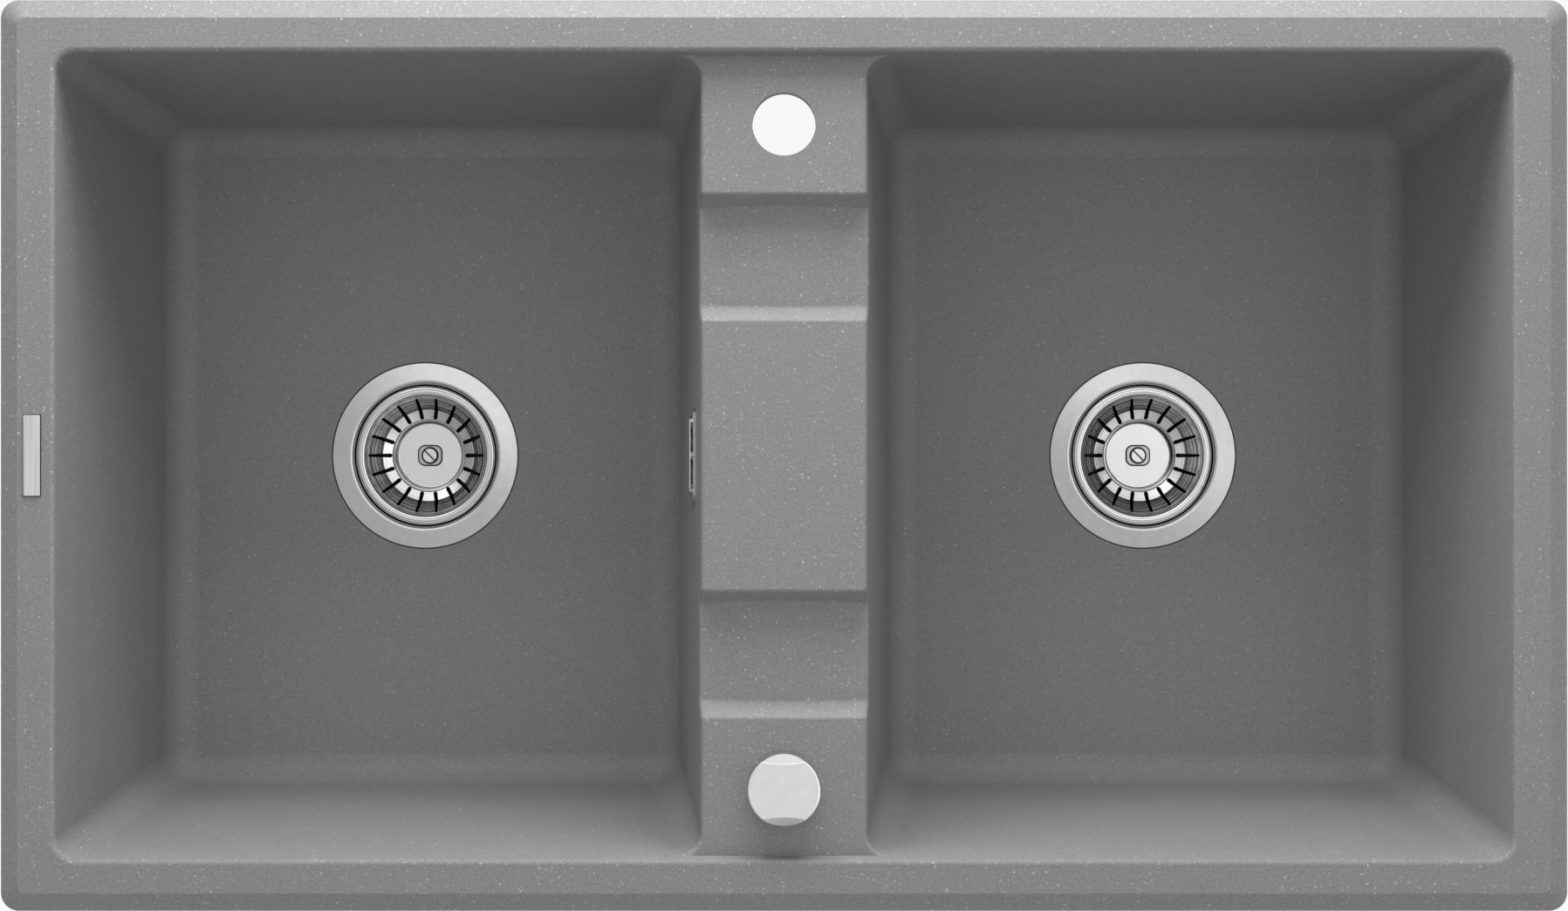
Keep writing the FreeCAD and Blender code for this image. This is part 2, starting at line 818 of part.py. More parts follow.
def basket_slots(centre):
    """Slots that run out along the cup, round at both ends and narrower towards the lip."""
    low_z = flange_top_z - step_depth - wall / 2
    height = flange_top_z - low_z
    foot = slot_foot_width / 2
    tip = slot_tip_width / 2
    start = at(slot_inner_radius + foot, 0, low_z)
    end = at(slot_outer_radius - tip, 0, low_z)
    corners = [start - BACK * foot, end - BACK * tip, end + BACK * tip, start + BACK * foot]
    taper = Part.Face(Part.makePolygon(corners + corners[:1])).extrude(UP * height)
    pattern = joined([taper, rod(foot, start, UP, height), rod(tip, end, UP, height)])
    slots = []
    for step in range(slot_count):
        slot = pattern.copy()
        slot.rotate(at(0, 0, 0), UP, step * 360 / slot_count)
        slot.translate(centre)
        slots.append(slot)
    return slots


def basket_stem(centre):
    foot = centre + UP * stem_foot_z
    stem = rod(stem_radius, foot, UP, stem_length)
    return stem.cut(rod(basket_screw_radius + thread_gap, foot + UP * overrun, UP, 2 * stem_length))


def basket_screw(centre):
    seat = flange_top_z - disc_depth + basket_sheet / 2 + pad_height
    head = rod(basket_screw_head_radius, centre + UP * seat, UP, basket_screw_head_height)
    head_top = seat + basket_screw_head_height
    head_rims = edges_where(head, lambda edge: abs(mid(edge).z - head_top) < seat_gap)
    head = head.makeFillet(basket_screw_edge_radius, head_rims)
    foot = centre + UP * (seat - basket_screw_length)
    shank = rod(basket_screw_radius, foot, UP, basket_screw_length + overrun)
    screw = head.fuse(shank).removeSplitter()
    slot = block(at(-2 * basket_screw_head_radius, -driver_slot_width / 2, head_top - driver_slot_depth / 2),
                 at(2 * basket_screw_head_radius, driver_slot_width / 2, head_top + overrun))
    slot.rotate(at(0, 0, 0), UP, -45)
    slot.translate(centre)
    return screw.cut(slot)


def plug_seal(centre):
    foot = seal_foot_z
    bore = stem_radius + running_fit
    lip_start = plug_seal_radius - 2 * plug_seal_lip
    return turned_outline([
        (bore, disc_under_z),
        (disc_radius, disc_under_z),
        (disc_radius, foot + plug_seal_lip + plug_seal_lip / 2),
        (plug_seal_radius, foot + plug_seal_lip),
        (plug_seal_radius, foot),
        (lip_start, foot),
        (lip_start, foot + plug_seal_lip / 2),
        (bore, foot + plug_seal_lip / 2),
    ], centre)


# Lifting gear of the left waste

def lift_pin(centre):
    foot = lever_z + lever_finger_thickness / 2 + seat_gap
    top = stem_foot_z - seat_gap
    radius = clamp_bore_radius - running_fit
    shaft = rod(radius, centre + UP * (foot + radius), UP, top - foot - radius)
    return shaft.fuse(Part.makeSphere(radius, centre + UP * (foot + radius))).removeSplitter()


def lift_lever(centre):
    line_x = centre.x - lever_offset
    outer_end = -(lever_boss_face + actuator_depth - actuator_wall - seat_gap)
    inner_end = lever_finger_width / 2
    shaft = rod(lever_shaft_radius, at(line_x, outer_end, lever_z), BACK, inner_end - outer_end)
    half = lever_finger_thickness / 2
    tip_x = centre.x + lever_shaft_radius
    finger = block(at(line_x, -inner_end, lever_z - half), at(tip_x, inner_end, lever_z + half))
    crank_width = 2 * lever_shaft_radius
    crank_y = outer_end + crank_width / 2
    crank = block(at(line_x - lever_shaft_radius, crank_y, lever_z - lever_crank_length),
                  at(line_x + lever_shaft_radius, crank_y + lever_finger_thickness, lever_z))
    crank.rotate(at(line_x, 0, lever_z), BACK, lever_crank_tilt)
    return joined([shaft, finger, crank])


def lever_gland(centre):
    line_x = centre.x - lever_offset
    face = at(line_x, -lever_boss_face, lever_z)
    sleeve = rod(gland_radius, face, BACK, gland_length)
    head = rod(lever_boss_radius, face - BACK * gland_head_length, BACK, gland_head_length)
    bore = rod(lever_shaft_radius + running_fit, face - BACK * lever_boss_face, BACK, 2 * lever_boss_face)
    return joined([sleeve, head]).cut(bore)


def actuator_box(centre):
    """The closed box round the lever's crank, with a sleeve for the cable in its side."""
    line_x = centre.x - lever_offset
    near_y = -lever_boss_face - gland_head_length - thread_gap
    far_y = near_y - actuator_depth
    half = actuator_size / 2
    outline = rounded_rectangle(-half, half, half, actuator_corner_radius, 0)
    outer = Part.Face(outline).extrude(UP * actuator_depth)
    inner_half = half - actuator_wall
    inner_corner = actuator_corner_radius - actuator_wall
    inner_outline = rounded_rectangle(-inner_half, inner_half, inner_half, inner_corner, actuator_wall)
    inner = Part.Face(inner_outline).extrude(UP * (actuator_depth - 2 * actuator_wall))
    box = outer.cut(inner)
    box.rotate(at(0, 0, 0), RIGHT, 90)
    box.translate(at(line_x, near_y, lever_z))
    shaft_start = at(line_x, far_y / 2 + near_y / 2, lever_z)
    shaft_hole = rod(lever_shaft_radius + loose_fit, shaft_start, BACK, actuator_depth)
    cable_hole = rod(cable_core_radius + loose_fit, cable_end(), RIGHT * -1, 2 * actuator_wall)
    return box.cut([shaft_hole, cable_hole])


def cable_end():
    """Where the cable's sheath stops at the actuator box."""
    line_x = -drain_offset - lever_offset
    mid_y = -lever_boss_face - gland_head_length - actuator_depth / 2
    return at(line_x + actuator_size / 2 + thread_gap, mid_y, lever_z - lever_crank_length)


# Connecting pipes

def slip_nut(end, outward):
    """A slip nut on a threaded socket: end is the socket's mouth, outward points along the pipe."""
    start = end - outward * (nut_length - nut_lip - cone_length - pipe_nut_gap)
    shell = rod(nut_radius - nut_rib_width / 2, start, outward, nut_length)
    ribs = []
    for step in range(nut_rib_count):
        rib_end = at(nut_radius, nut_rib_width / 2, nut_length - nut_lip / 2)
        rib = block(at(0, -nut_rib_width / 2, 0), rib_end)
        rib.rotate(at(0, 0, 0), UP, step * 360 / nut_rib_count)
        rib.rotate(at(0, 0, 0), BACK, 90 if outward.x > 0 else -90)
        rib.translate(start)
        ribs.append(rib)
    bores = [
        rod(thread_radius + thread_gap, start - outward * overrun, outward, nut_length - nut_lip + overrun),
        rod(pipe_radius + pipe_nut_gap, start, outward, nut_length + overrun),
    ]
    return joined([shell] + ribs).cut(bores)


def cone_washer(end, outward):
    """The rubber washer between a socket's mouth and the lip of its nut."""
    start = end + outward * thread_gap
    straight = cone_length - cone_nose_length
    wide = thread_radius - thread_gap
    body = rod(wide, start, outward, straight)
    nose = Part.makeCone(wide, cone_nose_radius, cone_nose_length, start + outward * straight, outward)
    bore = rod(pipe_radius + thread_gap, start - outward * overrun, outward, 2 * cone_length)
    return joined([body, nose]).cut(bore)


def socket_ends():
    """The mouths of the four sockets that the two pipes go into, with the direction out of each."""
    ends = []
    for side in (-1, 1):
        ends.append((at(side * (drain_offset - outlet_reach), 0, outlet_z), RIGHT * -side))
        ends.append((at(side * tee_reach, 0, outlet_z), RIGHT * side))
    return ends


def cross_pipe(side):
    far = drain_offset - outlet_reach + socket_depth - thread_gap
    near = tee_reach - socket_depth + thread_gap
    return tube(pipe_radius, pipe_bore_radius, at(side * near, 0, outlet_z), RIGHT * side, far - near)


def outlet_tee():
    centre = at(0, 0, outlet_z)
    run_start = at(-tee_reach, 0, outlet_z)
    solids = [
        rod(thread_radius, run_start, RIGHT, 2 * tee_reach),
        rod(thread_radius, centre, UP * -1, outlet_collar_length),
        rod(pipe_radius, centre, UP * -1, tee_outlet_length),
        rod(inlet_radius, centre, BACK, inlet_reach),
    ]
    voids = [
        rod(pipe_bore_radius, run_start, RIGHT, 2 * tee_reach),
        rod(pipe_radius + thread_gap, run_start, RIGHT, socket_depth),
        rod(pipe_radius + thread_gap, at(tee_reach, 0, outlet_z), RIGHT * -1, socket_depth),
        rod(pipe_bore_radius, centre, UP * -1, tee_outlet_length + overrun),
        rod(inlet_bore_radius, centre, BACK, inlet_reach + overrun),
    ]
    return joined(solids).cut(voids)


def inlet_cap():
    """The cap that closes the appliance inlet of the tee until a machine's drain hose is fitted."""
    start = at(0, inlet_reach + cap_washer_thickness + thread_gap + cap_face - cap_length, outlet_z)
    shell = rod(cap_radius - cap_rib_width / 2, start, BACK, cap_length)
    ribs = []
    for step in range(cap_rib_count):
        rib_end = at(cap_radius, cap_rib_width / 2, cap_length - cap_face / 2)
        rib = block(at(0, -cap_rib_width / 2, 0), rib_end)
        rib.rotate(at(0, 0, 0), UP, step * 360 / cap_rib_count)
        rib.rotate(at(0, 0, 0), RIGHT, -90)
        rib.translate(start)
        ribs.append(rib)
    bore = rod(inlet_radius + thread_gap, start - BACK * overrun, BACK, cap_length - cap_face + overrun)
    return joined([shell] + ribs).cut(bore)


def inlet_washer():
    start = at(0, inlet_reach + thread_gap / 2, outlet_z)
    return rod(inlet_radius - thread_gap, start, BACK, cap_washer_thickness)


# Overflow

def on_overflow_wall(shape):
    """Moves a shape onto the divider wall: its own +X comes to point out of the wall into the left bowl."""
    wall_z = rim_height - overflow_depth
    wall_x = -(divider_width / 2 + wall_draft_share * (ledge_z - wall_z))
    placed = shape.copy()
    placed.rotate(at(0, 0, 0), UP, 180)
    placed.rotate(at(0, 0, 0), BACK, math.degrees(math.atan(wall_draft_share)))
    placed.translate(at(wall_x, 0, wall_z))
    return placed


def upright_plate(length, height, radius, start, end):
    """A plate with rounded corners that stands up across its own X axis."""
    plate = rounded_block(-height / 2, height / 2, length / 2, radius, start, end)
    plate.rotate(at(0, 0, 0), BACK, 90)
    return plate


def overflow_slot(margin, start, end):
    length = overflow_slot_length + 2 * margin
    height = overflow_slot_height + 2 * margin
    return upright_plate(length, height, overflow_slot_corner + margin, start, end)


def overflow_base():
    thickness = overflow_base_thickness
    plate = upright_plate(overflow_base_length, overflow_base_height, overflow_base_corner, 0, thickness)
    return on_overflow_wall(plate.cut(overflow_slot(-overrun, -overrun, 2 * thickness)))


def overflow_cover():
    """The raised cover: a thin front with closed ends and foot, open along its top edge."""
    start = overflow_base_thickness
    end = start + overflow_cover_proud
    shell = upright_plate(overflow_cover_length, overflow_cover_height, overflow_cover_corner, start, end)
    cavity_half = overflow_cover_length / 2 - overflow_cover_end
    foot = -overflow_cover_height / 2 + overflow_cover_end
    cavity_end = at(end - overflow_cover_sheet, cavity_half, overflow_cover_height)
    cavity = block(at(start - overrun, -cavity_half, foot), cavity_end)
    head = Part.makeCone(overflow_screw_radius, overflow_screw_head_radius, overflow_cover_proud,
                         at(start, 0, 0), RIGHT)
    post = rod(overflow_post_radius, at(start, 0, 0), RIGHT, overflow_cover_proud)
    return on_overflow_wall(joined([shell.cut(cavity), post]).cut(head))


def overflow_screw():
    end = overflow_base_thickness + overflow_cover_proud
    grow = overflow_screw_head_radius - thread_gap
    head = Part.makeCone(overflow_screw_radius - thread_gap, grow, overflow_cover_proud,
                         at(end - overflow_cover_proud, 0, 0), RIGHT)
    shank = rod(overflow_screw_radius - thread_gap, at(end - overflow_screw_length, 0, 0), RIGHT,
                overflow_screw_length - overflow_cover_proud + thread_gap)
    screw = joined([head, shank])
    slot = block(at(end - driver_slot_depth / 2, -overflow_screw_head_radius, -driver_slot_width / 2),
                 at(end + overrun, overflow_screw_head_radius, driver_slot_width / 2))
    return on_overflow_wall(screw.cut(slot))


def overflow_gasket():
    end = -wall / math.cos(math.atan(wall_draft_share))
    start = end - overflow_gasket_thickness
    ring = upright_plate(overflow_elbow_length, overflow_elbow_height, overflow_base_corner, start, end)
    return on_overflow_wall(ring.cut(overflow_slot(0, start - overrun, overrun)))


def overflow_elbow():
    """The hollow elbow behind the wall, with a post for the screw and a tail that points down."""
    front = -wall / math.cos(math.atan(wall_draft_share)) - overflow_gasket_thickness
    rear = front - overflow_elbow_depth
    flange = upright_plate(overflow_elbow_length, overflow_elbow_height, overflow_base_corner,
                           front - overflow_elbow_flange, front)
    outer = overflow_slot(overflow_elbow_wall, rear, front)
    inner = overflow_slot(0, rear + overflow_elbow_wall, front + overrun)
    post = rod(overflow_post_radius, at(rear, 0, 0), RIGHT, front - rear)
    bore = rod(overflow_screw_radius, at(rear / 2 + front / 2, 0, 0), RIGHT, wall * 2)
    tail_top = rim_height - overflow_depth
    tail_start = at(-overflow_tail_offset, 0, tail_top)
    tail = rod(spigot_radius, tail_start, UP * -1, overflow_tail_length)
    tail_bore = rod(spigot_bore_radius, tail_start, UP * -1, overflow_tail_length + overrun)
    box = joined([on_overflow_wall(flange), on_overflow_wall(outer), tail])
    box = box.cut([tail_bore, on_overflow_wall(inner)])
    return joined([box, on_overflow_wall(post)]).cut(on_overflow_wall(bore))


def hose_stations():
    """Places along the hose's route, evenly spaced: each a point and the direction there."""
    top = rim_height - overflow_depth - overflow_tail_length + hose_grip
    inlet_z = body_top_z - overflow_inlet_drop
    inlet_x = -drain_offset + overflow_inlet_reach - hose_grip
    bend_z = inlet_z + hose_bend
    bend_x = -overflow_tail_offset - hose_bend
    down = top - bend_z
    arc = hose_bend * math.pi / 2
    level = bend_x - inlet_x
    return top, bend_x, bend_z, inlet_x, inlet_z, down, arc, level


def hose_place(distance):
    top, bend_x, bend_z, inlet_x, inlet_z, down, arc, level = hose_stations()
    if distance <= down:
        return at(-overflow_tail_offset, 0, top - distance), Vector(0, 0, -1)
    if distance <= down + arc:
        turn = (distance - down) / hose_bend
        place = at(bend_x + hose_bend * math.cos(turn), 0, bend_z - hose_bend * math.sin(turn))
        return place, Vector(-math.sin(turn), 0, -math.cos(turn))
    return at(bend_x - (distance - down - arc), 0, inlet_z), Vector(-1, 0, 0)


def hose_ring(distance, radius):
    place, direction = hose_place(distance)
    return Part.Wire(Part.makeCircle(radius, place, direction))


def overflow_hose():
    """The ribbed hose from the overflow's tail to the waste body, with a plain cuff at each end."""
    top, bend_x, bend_z, inlet_x, inlet_z, down, arc, level = hose_stations()
    length = down + arc + level
    ribbed = length - 2 * hose_cuff
    count = int(ribbed / hose_rib_pitch)
    pitch = ribbed / count
    rings = [(0, hose_valley_radius), (hose_cuff, hose_valley_radius)]
    for step in range(count):
        start = hose_cuff + step * pitch
        rise, crest, fall = [start + pitch * share for share in hose_rib_shares]
        rings.append((rise, hose_valley_radius))
        rings.append((crest, hose_crest_radius))
        rings.append((fall, hose_crest_radius))
        rings.append((start + pitch, hose_valley_radius))
    rings.append((length, hose_valley_radius))
    outside = Part.makeLoft([hose_ring(distance, radius) for distance, radius in rings], True, True)
    bore_parts = [
        rod(hose_bore_radius, at(-overflow_tail_offset, 0, top + overrun), UP * -1, down + overrun),
        rod(hose_bore_radius, at(bend_x, 0, inlet_z), RIGHT * -1, level + overrun),
    ]
    ring = Part.Face(Part.Wire(Part.makeCircle(hose_bore_radius, at(-overflow_tail_offset, 0, bend_z), UP)))
    bore_parts.append(ring.revolve(at(bend_x, 0, bend_z), BACK, 90))
    return outside.cut(bore_parts)


def hose_clip(distance):
    """A band with a tightening ear, round one end of the hose."""
    place, direction = hose_place(distance)
    start = place - direction * (hose_clip_width / 2)
    outer = hose_valley_radius + seat_gap / 2 + hose_clip_thickness
    band = rod(outer, start, direction, hose_clip_width)
    ear = Part.makeBox(hose_clip_ear, hose_clip_ear, hose_clip_ear_width)
    margin = (hose_clip_width - hose_clip_ear_width) / 2
    ear.translate(at(-hose_clip_ear / 2, outer - hose_clip_thickness / 2, margin))
    ear.rotate(at(0, 0, 0), BACK, 180 if direction.z < 0 else -90)
    ear.translate(start)
    return joined([band, ear]).cut(rod(hose_valley_radius + seat_gap / 2, start - direction, direction,
                                       hose_clip_width + 2 * overrun))


def hose_clips():
    top, bend_x, bend_z, inlet_x, inlet_z, down, arc, level = hose_stations()
    near = hose_grip / 2
    return Part.makeCompound([hose_clip(near), hose_clip(down + arc + level - near)])


# Control knob and its drive

def knob_axis():
    return at(0, -ledge_hole_offset, 0)


def control_knob():
    """A disc with a bar across it, between two finger scoops that slope down to the front and the back."""
    foot = ledge_z + knob_floor_gap
    top = ledge_z + knob_height
    knob = rod(knob_radius, at(0, 0, foot), UP, top - foot)
    tilt = math.radians(knob_scoop_tilt)
    scoops = []
    for sign in (-1, 1):
        downhill = Vector(0, sign * math.cos(tilt), -math.sin(tilt))
        outward = Vector(0, sign * math.sin(tilt), math.cos(tilt))
        edge_point = at(0, sign * knob_bar_width / 2, top)
        axis_point = edge_point + outward * knob_scoop_radius - downhill * knob_radius
        scoops.append(rod(knob_scoop_radius, axis_point, downhill, 3 * knob_radius))
    knob = knob.cut(scoops)
    # The seams of the disc and the scoops are straight lines and stay as they are
    curved = edges_where(knob, lambda edge: edge.Curve.TypeId != "Part::GeomLine")
    rims = [edge for edge in curved if mid(edge).z > foot + seat_gap]
    knob = knob.makeFillet(knob_edge_radius, rims)
    skirt = rod(knob_skirt_radius, at(0, 0, foot - overrun), UP, knob_skirt_depth + overrun)
    bore = rod(spindle_radius + thread_gap, at(0, 0, foot), UP, knob_height - spindle_top_gap)
    grub_start = at(0, 0, ledge_z + knob_skirt_depth + grub_screw_height)
    grub = rod(grub_screw_radius + thread_gap, grub_start, RIGHT, 2 * knob_radius)
    knob = knob.cut([skirt, bore, grub])
    knob.translate(knob_axis())
    return knob


def knob_grub_screw():
    height = ledge_z + knob_skirt_depth + grub_screw_height
    start = spindle_radius + thread_gap
    screw = rod(grub_screw_radius, at(start, 0, height), RIGHT, grub_screw_length)
    half = driver_slot_width / 4
    slot_low = at(start + grub_screw_length - driver_slot_depth, -grub_screw_radius, height - half)
    slot_high = at(start + 2 * grub_screw_length, grub_screw_radius, height + half)
    screw = screw.cut(block(slot_low, slot_high))
    screw.translate(knob_axis())
    return screw


def housing_foot_z():
    return ledge_z + knob_gasket_thickness - housing_length


def knob_spindle():
    top = ledge_z + knob_floor_gap + knob_height - spindle_top_gap - seat_gap
    foot = housing_foot_z() - box_height + box_lid_thickness + seat_gap
    return rod(spindle_radius, knob_axis() + UP * foot, UP, top - foot)


def knob_gasket():
    foot = knob_axis() + UP * ledge_z
    return tube(housing_flange_radius, knob_hole_radius, foot, UP, knob_gasket_thickness)


def knob_housing():
    seat = ledge_z + knob_gasket_thickness
    flange = rod(housing_flange_radius, knob_axis() + UP * seat, UP, housing_flange_thickness)
    barrel = rod(housing_barrel_radius, knob_axis() + UP * housing_foot_z(), UP, housing_length + overrun)
    bore_foot = knob_axis() + UP * (housing_foot_z() - overrun)
    bore = rod(spindle_radius + running_fit, bore_foot, UP, 2 * housing_length)
    return joined([flange, barrel]).cut(bore)


def knob_washer():
    return tube(knob_washer_radius, housing_barrel_radius + thread_gap,
                knob_axis() + UP * (-slab_depth - knob_washer_thickness), UP, knob_washer_thickness)


def knob_nut():
    foot = -slab_depth - knob_washer_thickness - knob_nut_thickness
    nut = hexagon(knob_nut_radius, knob_axis() + UP * foot, knob_nut_thickness)
    return nut.cut(rod(housing_barrel_radius + thread_gap, knob_axis() + UP * (foot - overrun), UP,
                       2 * knob_nut_thickness))


def drum_middle_z():
    return housing_foot_z() - box_height / 2


def cable_drum():
    """The drum that winds the cable's core, fixed on the foot of the spindle."""
    half = drum_height / 2
    groove = drum_groove_height / 2
    middle = drum_middle_z()
    core = drum_radius - drum_groove_depth
    bore = spindle_radius + thread_gap
    return turned_outline([
        (bore, middle - half),
        (drum_radius, middle - half),
        (drum_radius, middle - groove),
        (core, middle - groove),
        (core, middle + groove),
        (drum_radius, middle + groove),
        (drum_radius, middle + half),
        (bore, middle + half),
    ], knob_axis())


def cable_box():
    """The round box under the housing that the drum turns in, open below for its lid."""
    top = housing_foot_z() - thread_gap
    foot = top - box_height + box_lid_thickness
    shell = rod(box_radius, knob_axis() + UP * foot, UP, top - foot)
    depth = top - foot - box_wall
    inside = rod(box_radius - box_wall, knob_axis() + UP * (foot - overrun), UP, depth + overrun)
    shaft_hole = rod(spindle_radius + loose_fit, knob_axis() + UP * foot, UP, box_height)
    cable_hole = rod(cable_core_radius + loose_fit, cable_start() - BACK * (box_radius / 2), BACK, box_radius)
    boss_end = cable_start().y - thread_gap
    boss = rod(ferrule_radius, at(cable_start().x, -ledge_hole_offset, cable_start().z), BACK,
               boss_end + ledge_hole_offset)
    return joined([shell, boss]).cut([inside, shaft_hole, cable_hole])


def cable_box_lid():
    foot = housing_foot_z() - thread_gap - box_height
    return rod(box_radius, knob_axis() + UP * foot, UP, box_lid_thickness)


def cable_start():
    """Where the cable's sheath starts at the box under the knob, level with the drum's groove."""
    return at(-cable_offset, -ledge_hole_offset + box_radius + overrun, drum_middle_z())


def cable_ferrules():
    half = ferrule_length
    start = cable_start()
    end = cable_end()
    first = tube(ferrule_radius, cable_radius + thread_gap / 2, start, BACK, half)
    second = tube(ferrule_radius, cable_radius + thread_gap / 2, end, RIGHT, half)
    return Part.makeCompound([first, second])


def cable_points():
    """The cable's route under the bowls, chosen by hand between its two fixed ends."""
    start, end = cable_start(), cable_end()
    return [
        start,
        at(start.x, start.y + 46, start.z),
        at(-15, -84, -78),
        at(-20, -76, -128),
        at(-32, -74, -180),
        at(-62, -72, -222),
        at(-108, -66, -248),
        at(end.x + 52, end.y - 3, end.z + 4),
        at(end.x + 28, end.y, end.z),
        end,
    ]


def bowden_cable():
    """The sheathed cable, whole from the box under the knob to the actuator box."""
    points = cable_points()
    radii = []
    for before, corner, after in zip(points, points[1:], points[2:]):
        behind, ahead = before - corner, after - corner
        half_turn = (math.pi - behind.getAngle(ahead)) / 2
        radii.append(cable_arc_share * min(behind.Length, ahead.Length) / math.tan(half_turn))
    path = Part.Wire(rounded_path(points, radii))
    print("cable bend radii", [round(radius, 1) for radius in radii], "length", round(path.Length, 1))
    ring = Part.Wire(Part.makeCircle(cable_radius, points[0], points[1] - points[0]))
    cable = path.makePipeShell([ring], True, False)
    print("cable volume share", round(cable.Volume / (math.pi * cable_radius ** 2 * path.Length), 4))
    return cable


# Every piece under its own name

def make_pieces():
    left = at(-drain_offset, 0, 0)
    right = at(drain_offset, 0, 0)
    pieces = {
        "sink_moulding": sink_moulding(),
        "badge_plate": badge_plate(),
        "fixing_inserts": fixing_inserts(),
        "fixing_screws": fixing_screws(),
        "left_strainer_flange": strainer_flange(left),
        "right_strainer_flange": strainer_flange(right),
        "flange_gaskets": Part.makeCompound([flange_gasket(left), flange_gasket(right)]),
        "floor_gaskets": Part.makeCompound([floor_gasket(left), floor_gasket(right)]),
        "left_waste_body": waste_body(-1),
        "right_waste_body": waste_body(1),
        "left_clamp_screw": clamp_screw(left, clamp_head_height, True),
        "right_clamp_screw": clamp_screw(right, stem_foot_z - seat_gap - well_floor_z, False),
        "left_basket": basket(left),
        "right_basket": basket(right),
        "left_basket_stem": basket_stem(left),
        "right_basket_stem": basket_stem(right),
        "left_basket_screw": basket_screw(left),
        "right_basket_screw": basket_screw(right),
        "left_plug_seal": plug_seal(left),
        "right_plug_seal": plug_seal(right),
        "lift_pin": lift_pin(left),
        "lift_lever": lift_lever(left),
        "lever_gland": lever_gland(left),
        "actuator_box": actuator_box(left),
        "left_cross_pipe": cross_pipe(-1),
        "right_cross_pipe": cross_pipe(1),
        "outlet_tee": outlet_tee(),
        "slip_nuts": Part.makeCompound([slip_nut(end, outward) for end, outward in socket_ends()]),
        "cone_washers": Part.makeCompound([cone_washer(end, outward) for end, outward in socket_ends()]),
        "inlet_cap": inlet_cap(),
        "inlet_washer": inlet_washer(),
        "overflow_base": overflow_base(),
        "overflow_cover": overflow_cover(),
        "overflow_screw": overflow_screw(),
        "overflow_gasket": overflow_gasket(),
        "overflow_elbow": overflow_elbow(),
        "overflow_hose": overflow_hose(),
        "hose_clips": hose_clips(),
        "control_knob": control_knob(),
        "knob_grub_screw": knob_grub_screw(),
        "knob_spindle": knob_spindle(),
        "knob_gasket": knob_gasket(),
        "knob_housing": knob_housing(),
        "knob_washer": knob_washer(),
        "knob_nut": knob_nut(),
        "cable_drum": cable_drum(),
        "cable_box": cable_box(),
        "cable_box_lid": cable_box_lid(),
        "cable_ferrules": cable_ferrules(),
        "bowden_cable": bowden_cable(),
    }
    for number, place in enumerate(clip_places(), start=1):
        pieces["fixing_clip_" + str(number)] = fixing_clip(*place)
    return pieces


os.makedirs("parts", exist_ok=True)
for name, shape in make_pieces().items():
    shape.exportStep("parts/" + name + ".step")
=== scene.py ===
import json
import math

import bpy
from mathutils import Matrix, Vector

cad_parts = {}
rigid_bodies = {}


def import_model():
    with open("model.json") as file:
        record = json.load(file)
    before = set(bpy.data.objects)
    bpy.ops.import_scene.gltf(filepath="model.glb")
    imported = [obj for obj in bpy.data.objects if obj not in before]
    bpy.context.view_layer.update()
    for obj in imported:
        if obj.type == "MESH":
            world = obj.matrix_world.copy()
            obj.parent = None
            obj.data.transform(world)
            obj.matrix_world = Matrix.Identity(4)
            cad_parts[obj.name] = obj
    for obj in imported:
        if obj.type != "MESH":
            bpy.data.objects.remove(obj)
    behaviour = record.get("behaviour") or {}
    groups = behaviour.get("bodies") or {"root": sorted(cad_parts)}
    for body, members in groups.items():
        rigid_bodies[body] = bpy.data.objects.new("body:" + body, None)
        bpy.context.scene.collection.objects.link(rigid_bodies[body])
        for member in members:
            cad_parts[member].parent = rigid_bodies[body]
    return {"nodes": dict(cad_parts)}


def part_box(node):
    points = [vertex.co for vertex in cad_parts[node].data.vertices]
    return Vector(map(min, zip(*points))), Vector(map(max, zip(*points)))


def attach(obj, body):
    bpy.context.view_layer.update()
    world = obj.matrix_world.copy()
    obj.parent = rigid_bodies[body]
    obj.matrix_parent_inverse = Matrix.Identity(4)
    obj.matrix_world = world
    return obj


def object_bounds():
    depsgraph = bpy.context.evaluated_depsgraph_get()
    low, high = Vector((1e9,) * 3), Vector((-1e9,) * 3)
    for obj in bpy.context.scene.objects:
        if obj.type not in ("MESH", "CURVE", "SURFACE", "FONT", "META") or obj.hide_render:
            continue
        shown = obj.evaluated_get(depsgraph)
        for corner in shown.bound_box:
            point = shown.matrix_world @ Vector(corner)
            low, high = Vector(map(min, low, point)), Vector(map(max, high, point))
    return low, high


# The looks of a double-bowl inset kitchen sink in granite composite, seen from straight above.
# Metres. The origin is the middle of the sink in the plane of the worktop, +Y is the tap side, +Z up.

MM = 0.001

# Camera, from the photograph: its width in pixels, its scale in the worktop plane and the height above that plane
photo_width = 1797
photo_pixels_per_metre = 2085.0
camera_height = 1.5
sensor_width = 36.0

# Granite composite: the widths of its clouds, its drifts of grains and its sand, how far and how finely the grains'
# outlines are pushed about, and the heights between which the bowls' painted light, a lighter colour, sets in
cloud_width = 14 * MM
drift_width = 28 * MM
sand_width = 1.6 * MM
chip_width = 0.8 * MM
chip_push = 1.6 * MM
sand_relief = 0.12 * MM
bowl_light_top = -30 * MM
bowl_light_foot = -150 * MM

# Metals: the widths of the steel's haze, the chrome's haze, the zinc's mottle and the brass's bloom, the finest
# grain that shows, its relief, and the streaks of the brushed plate, across and along
steel_haze = 5 * MM
chrome_haze = 6 * MM
zinc_mottle = 4 * MM
brass_bloom = 5 * MM
metal_grain = 0.7 * MM
metal_relief = 0.02 * MM
streak_width = 0.9 * MM
streak_length = 60 * MM
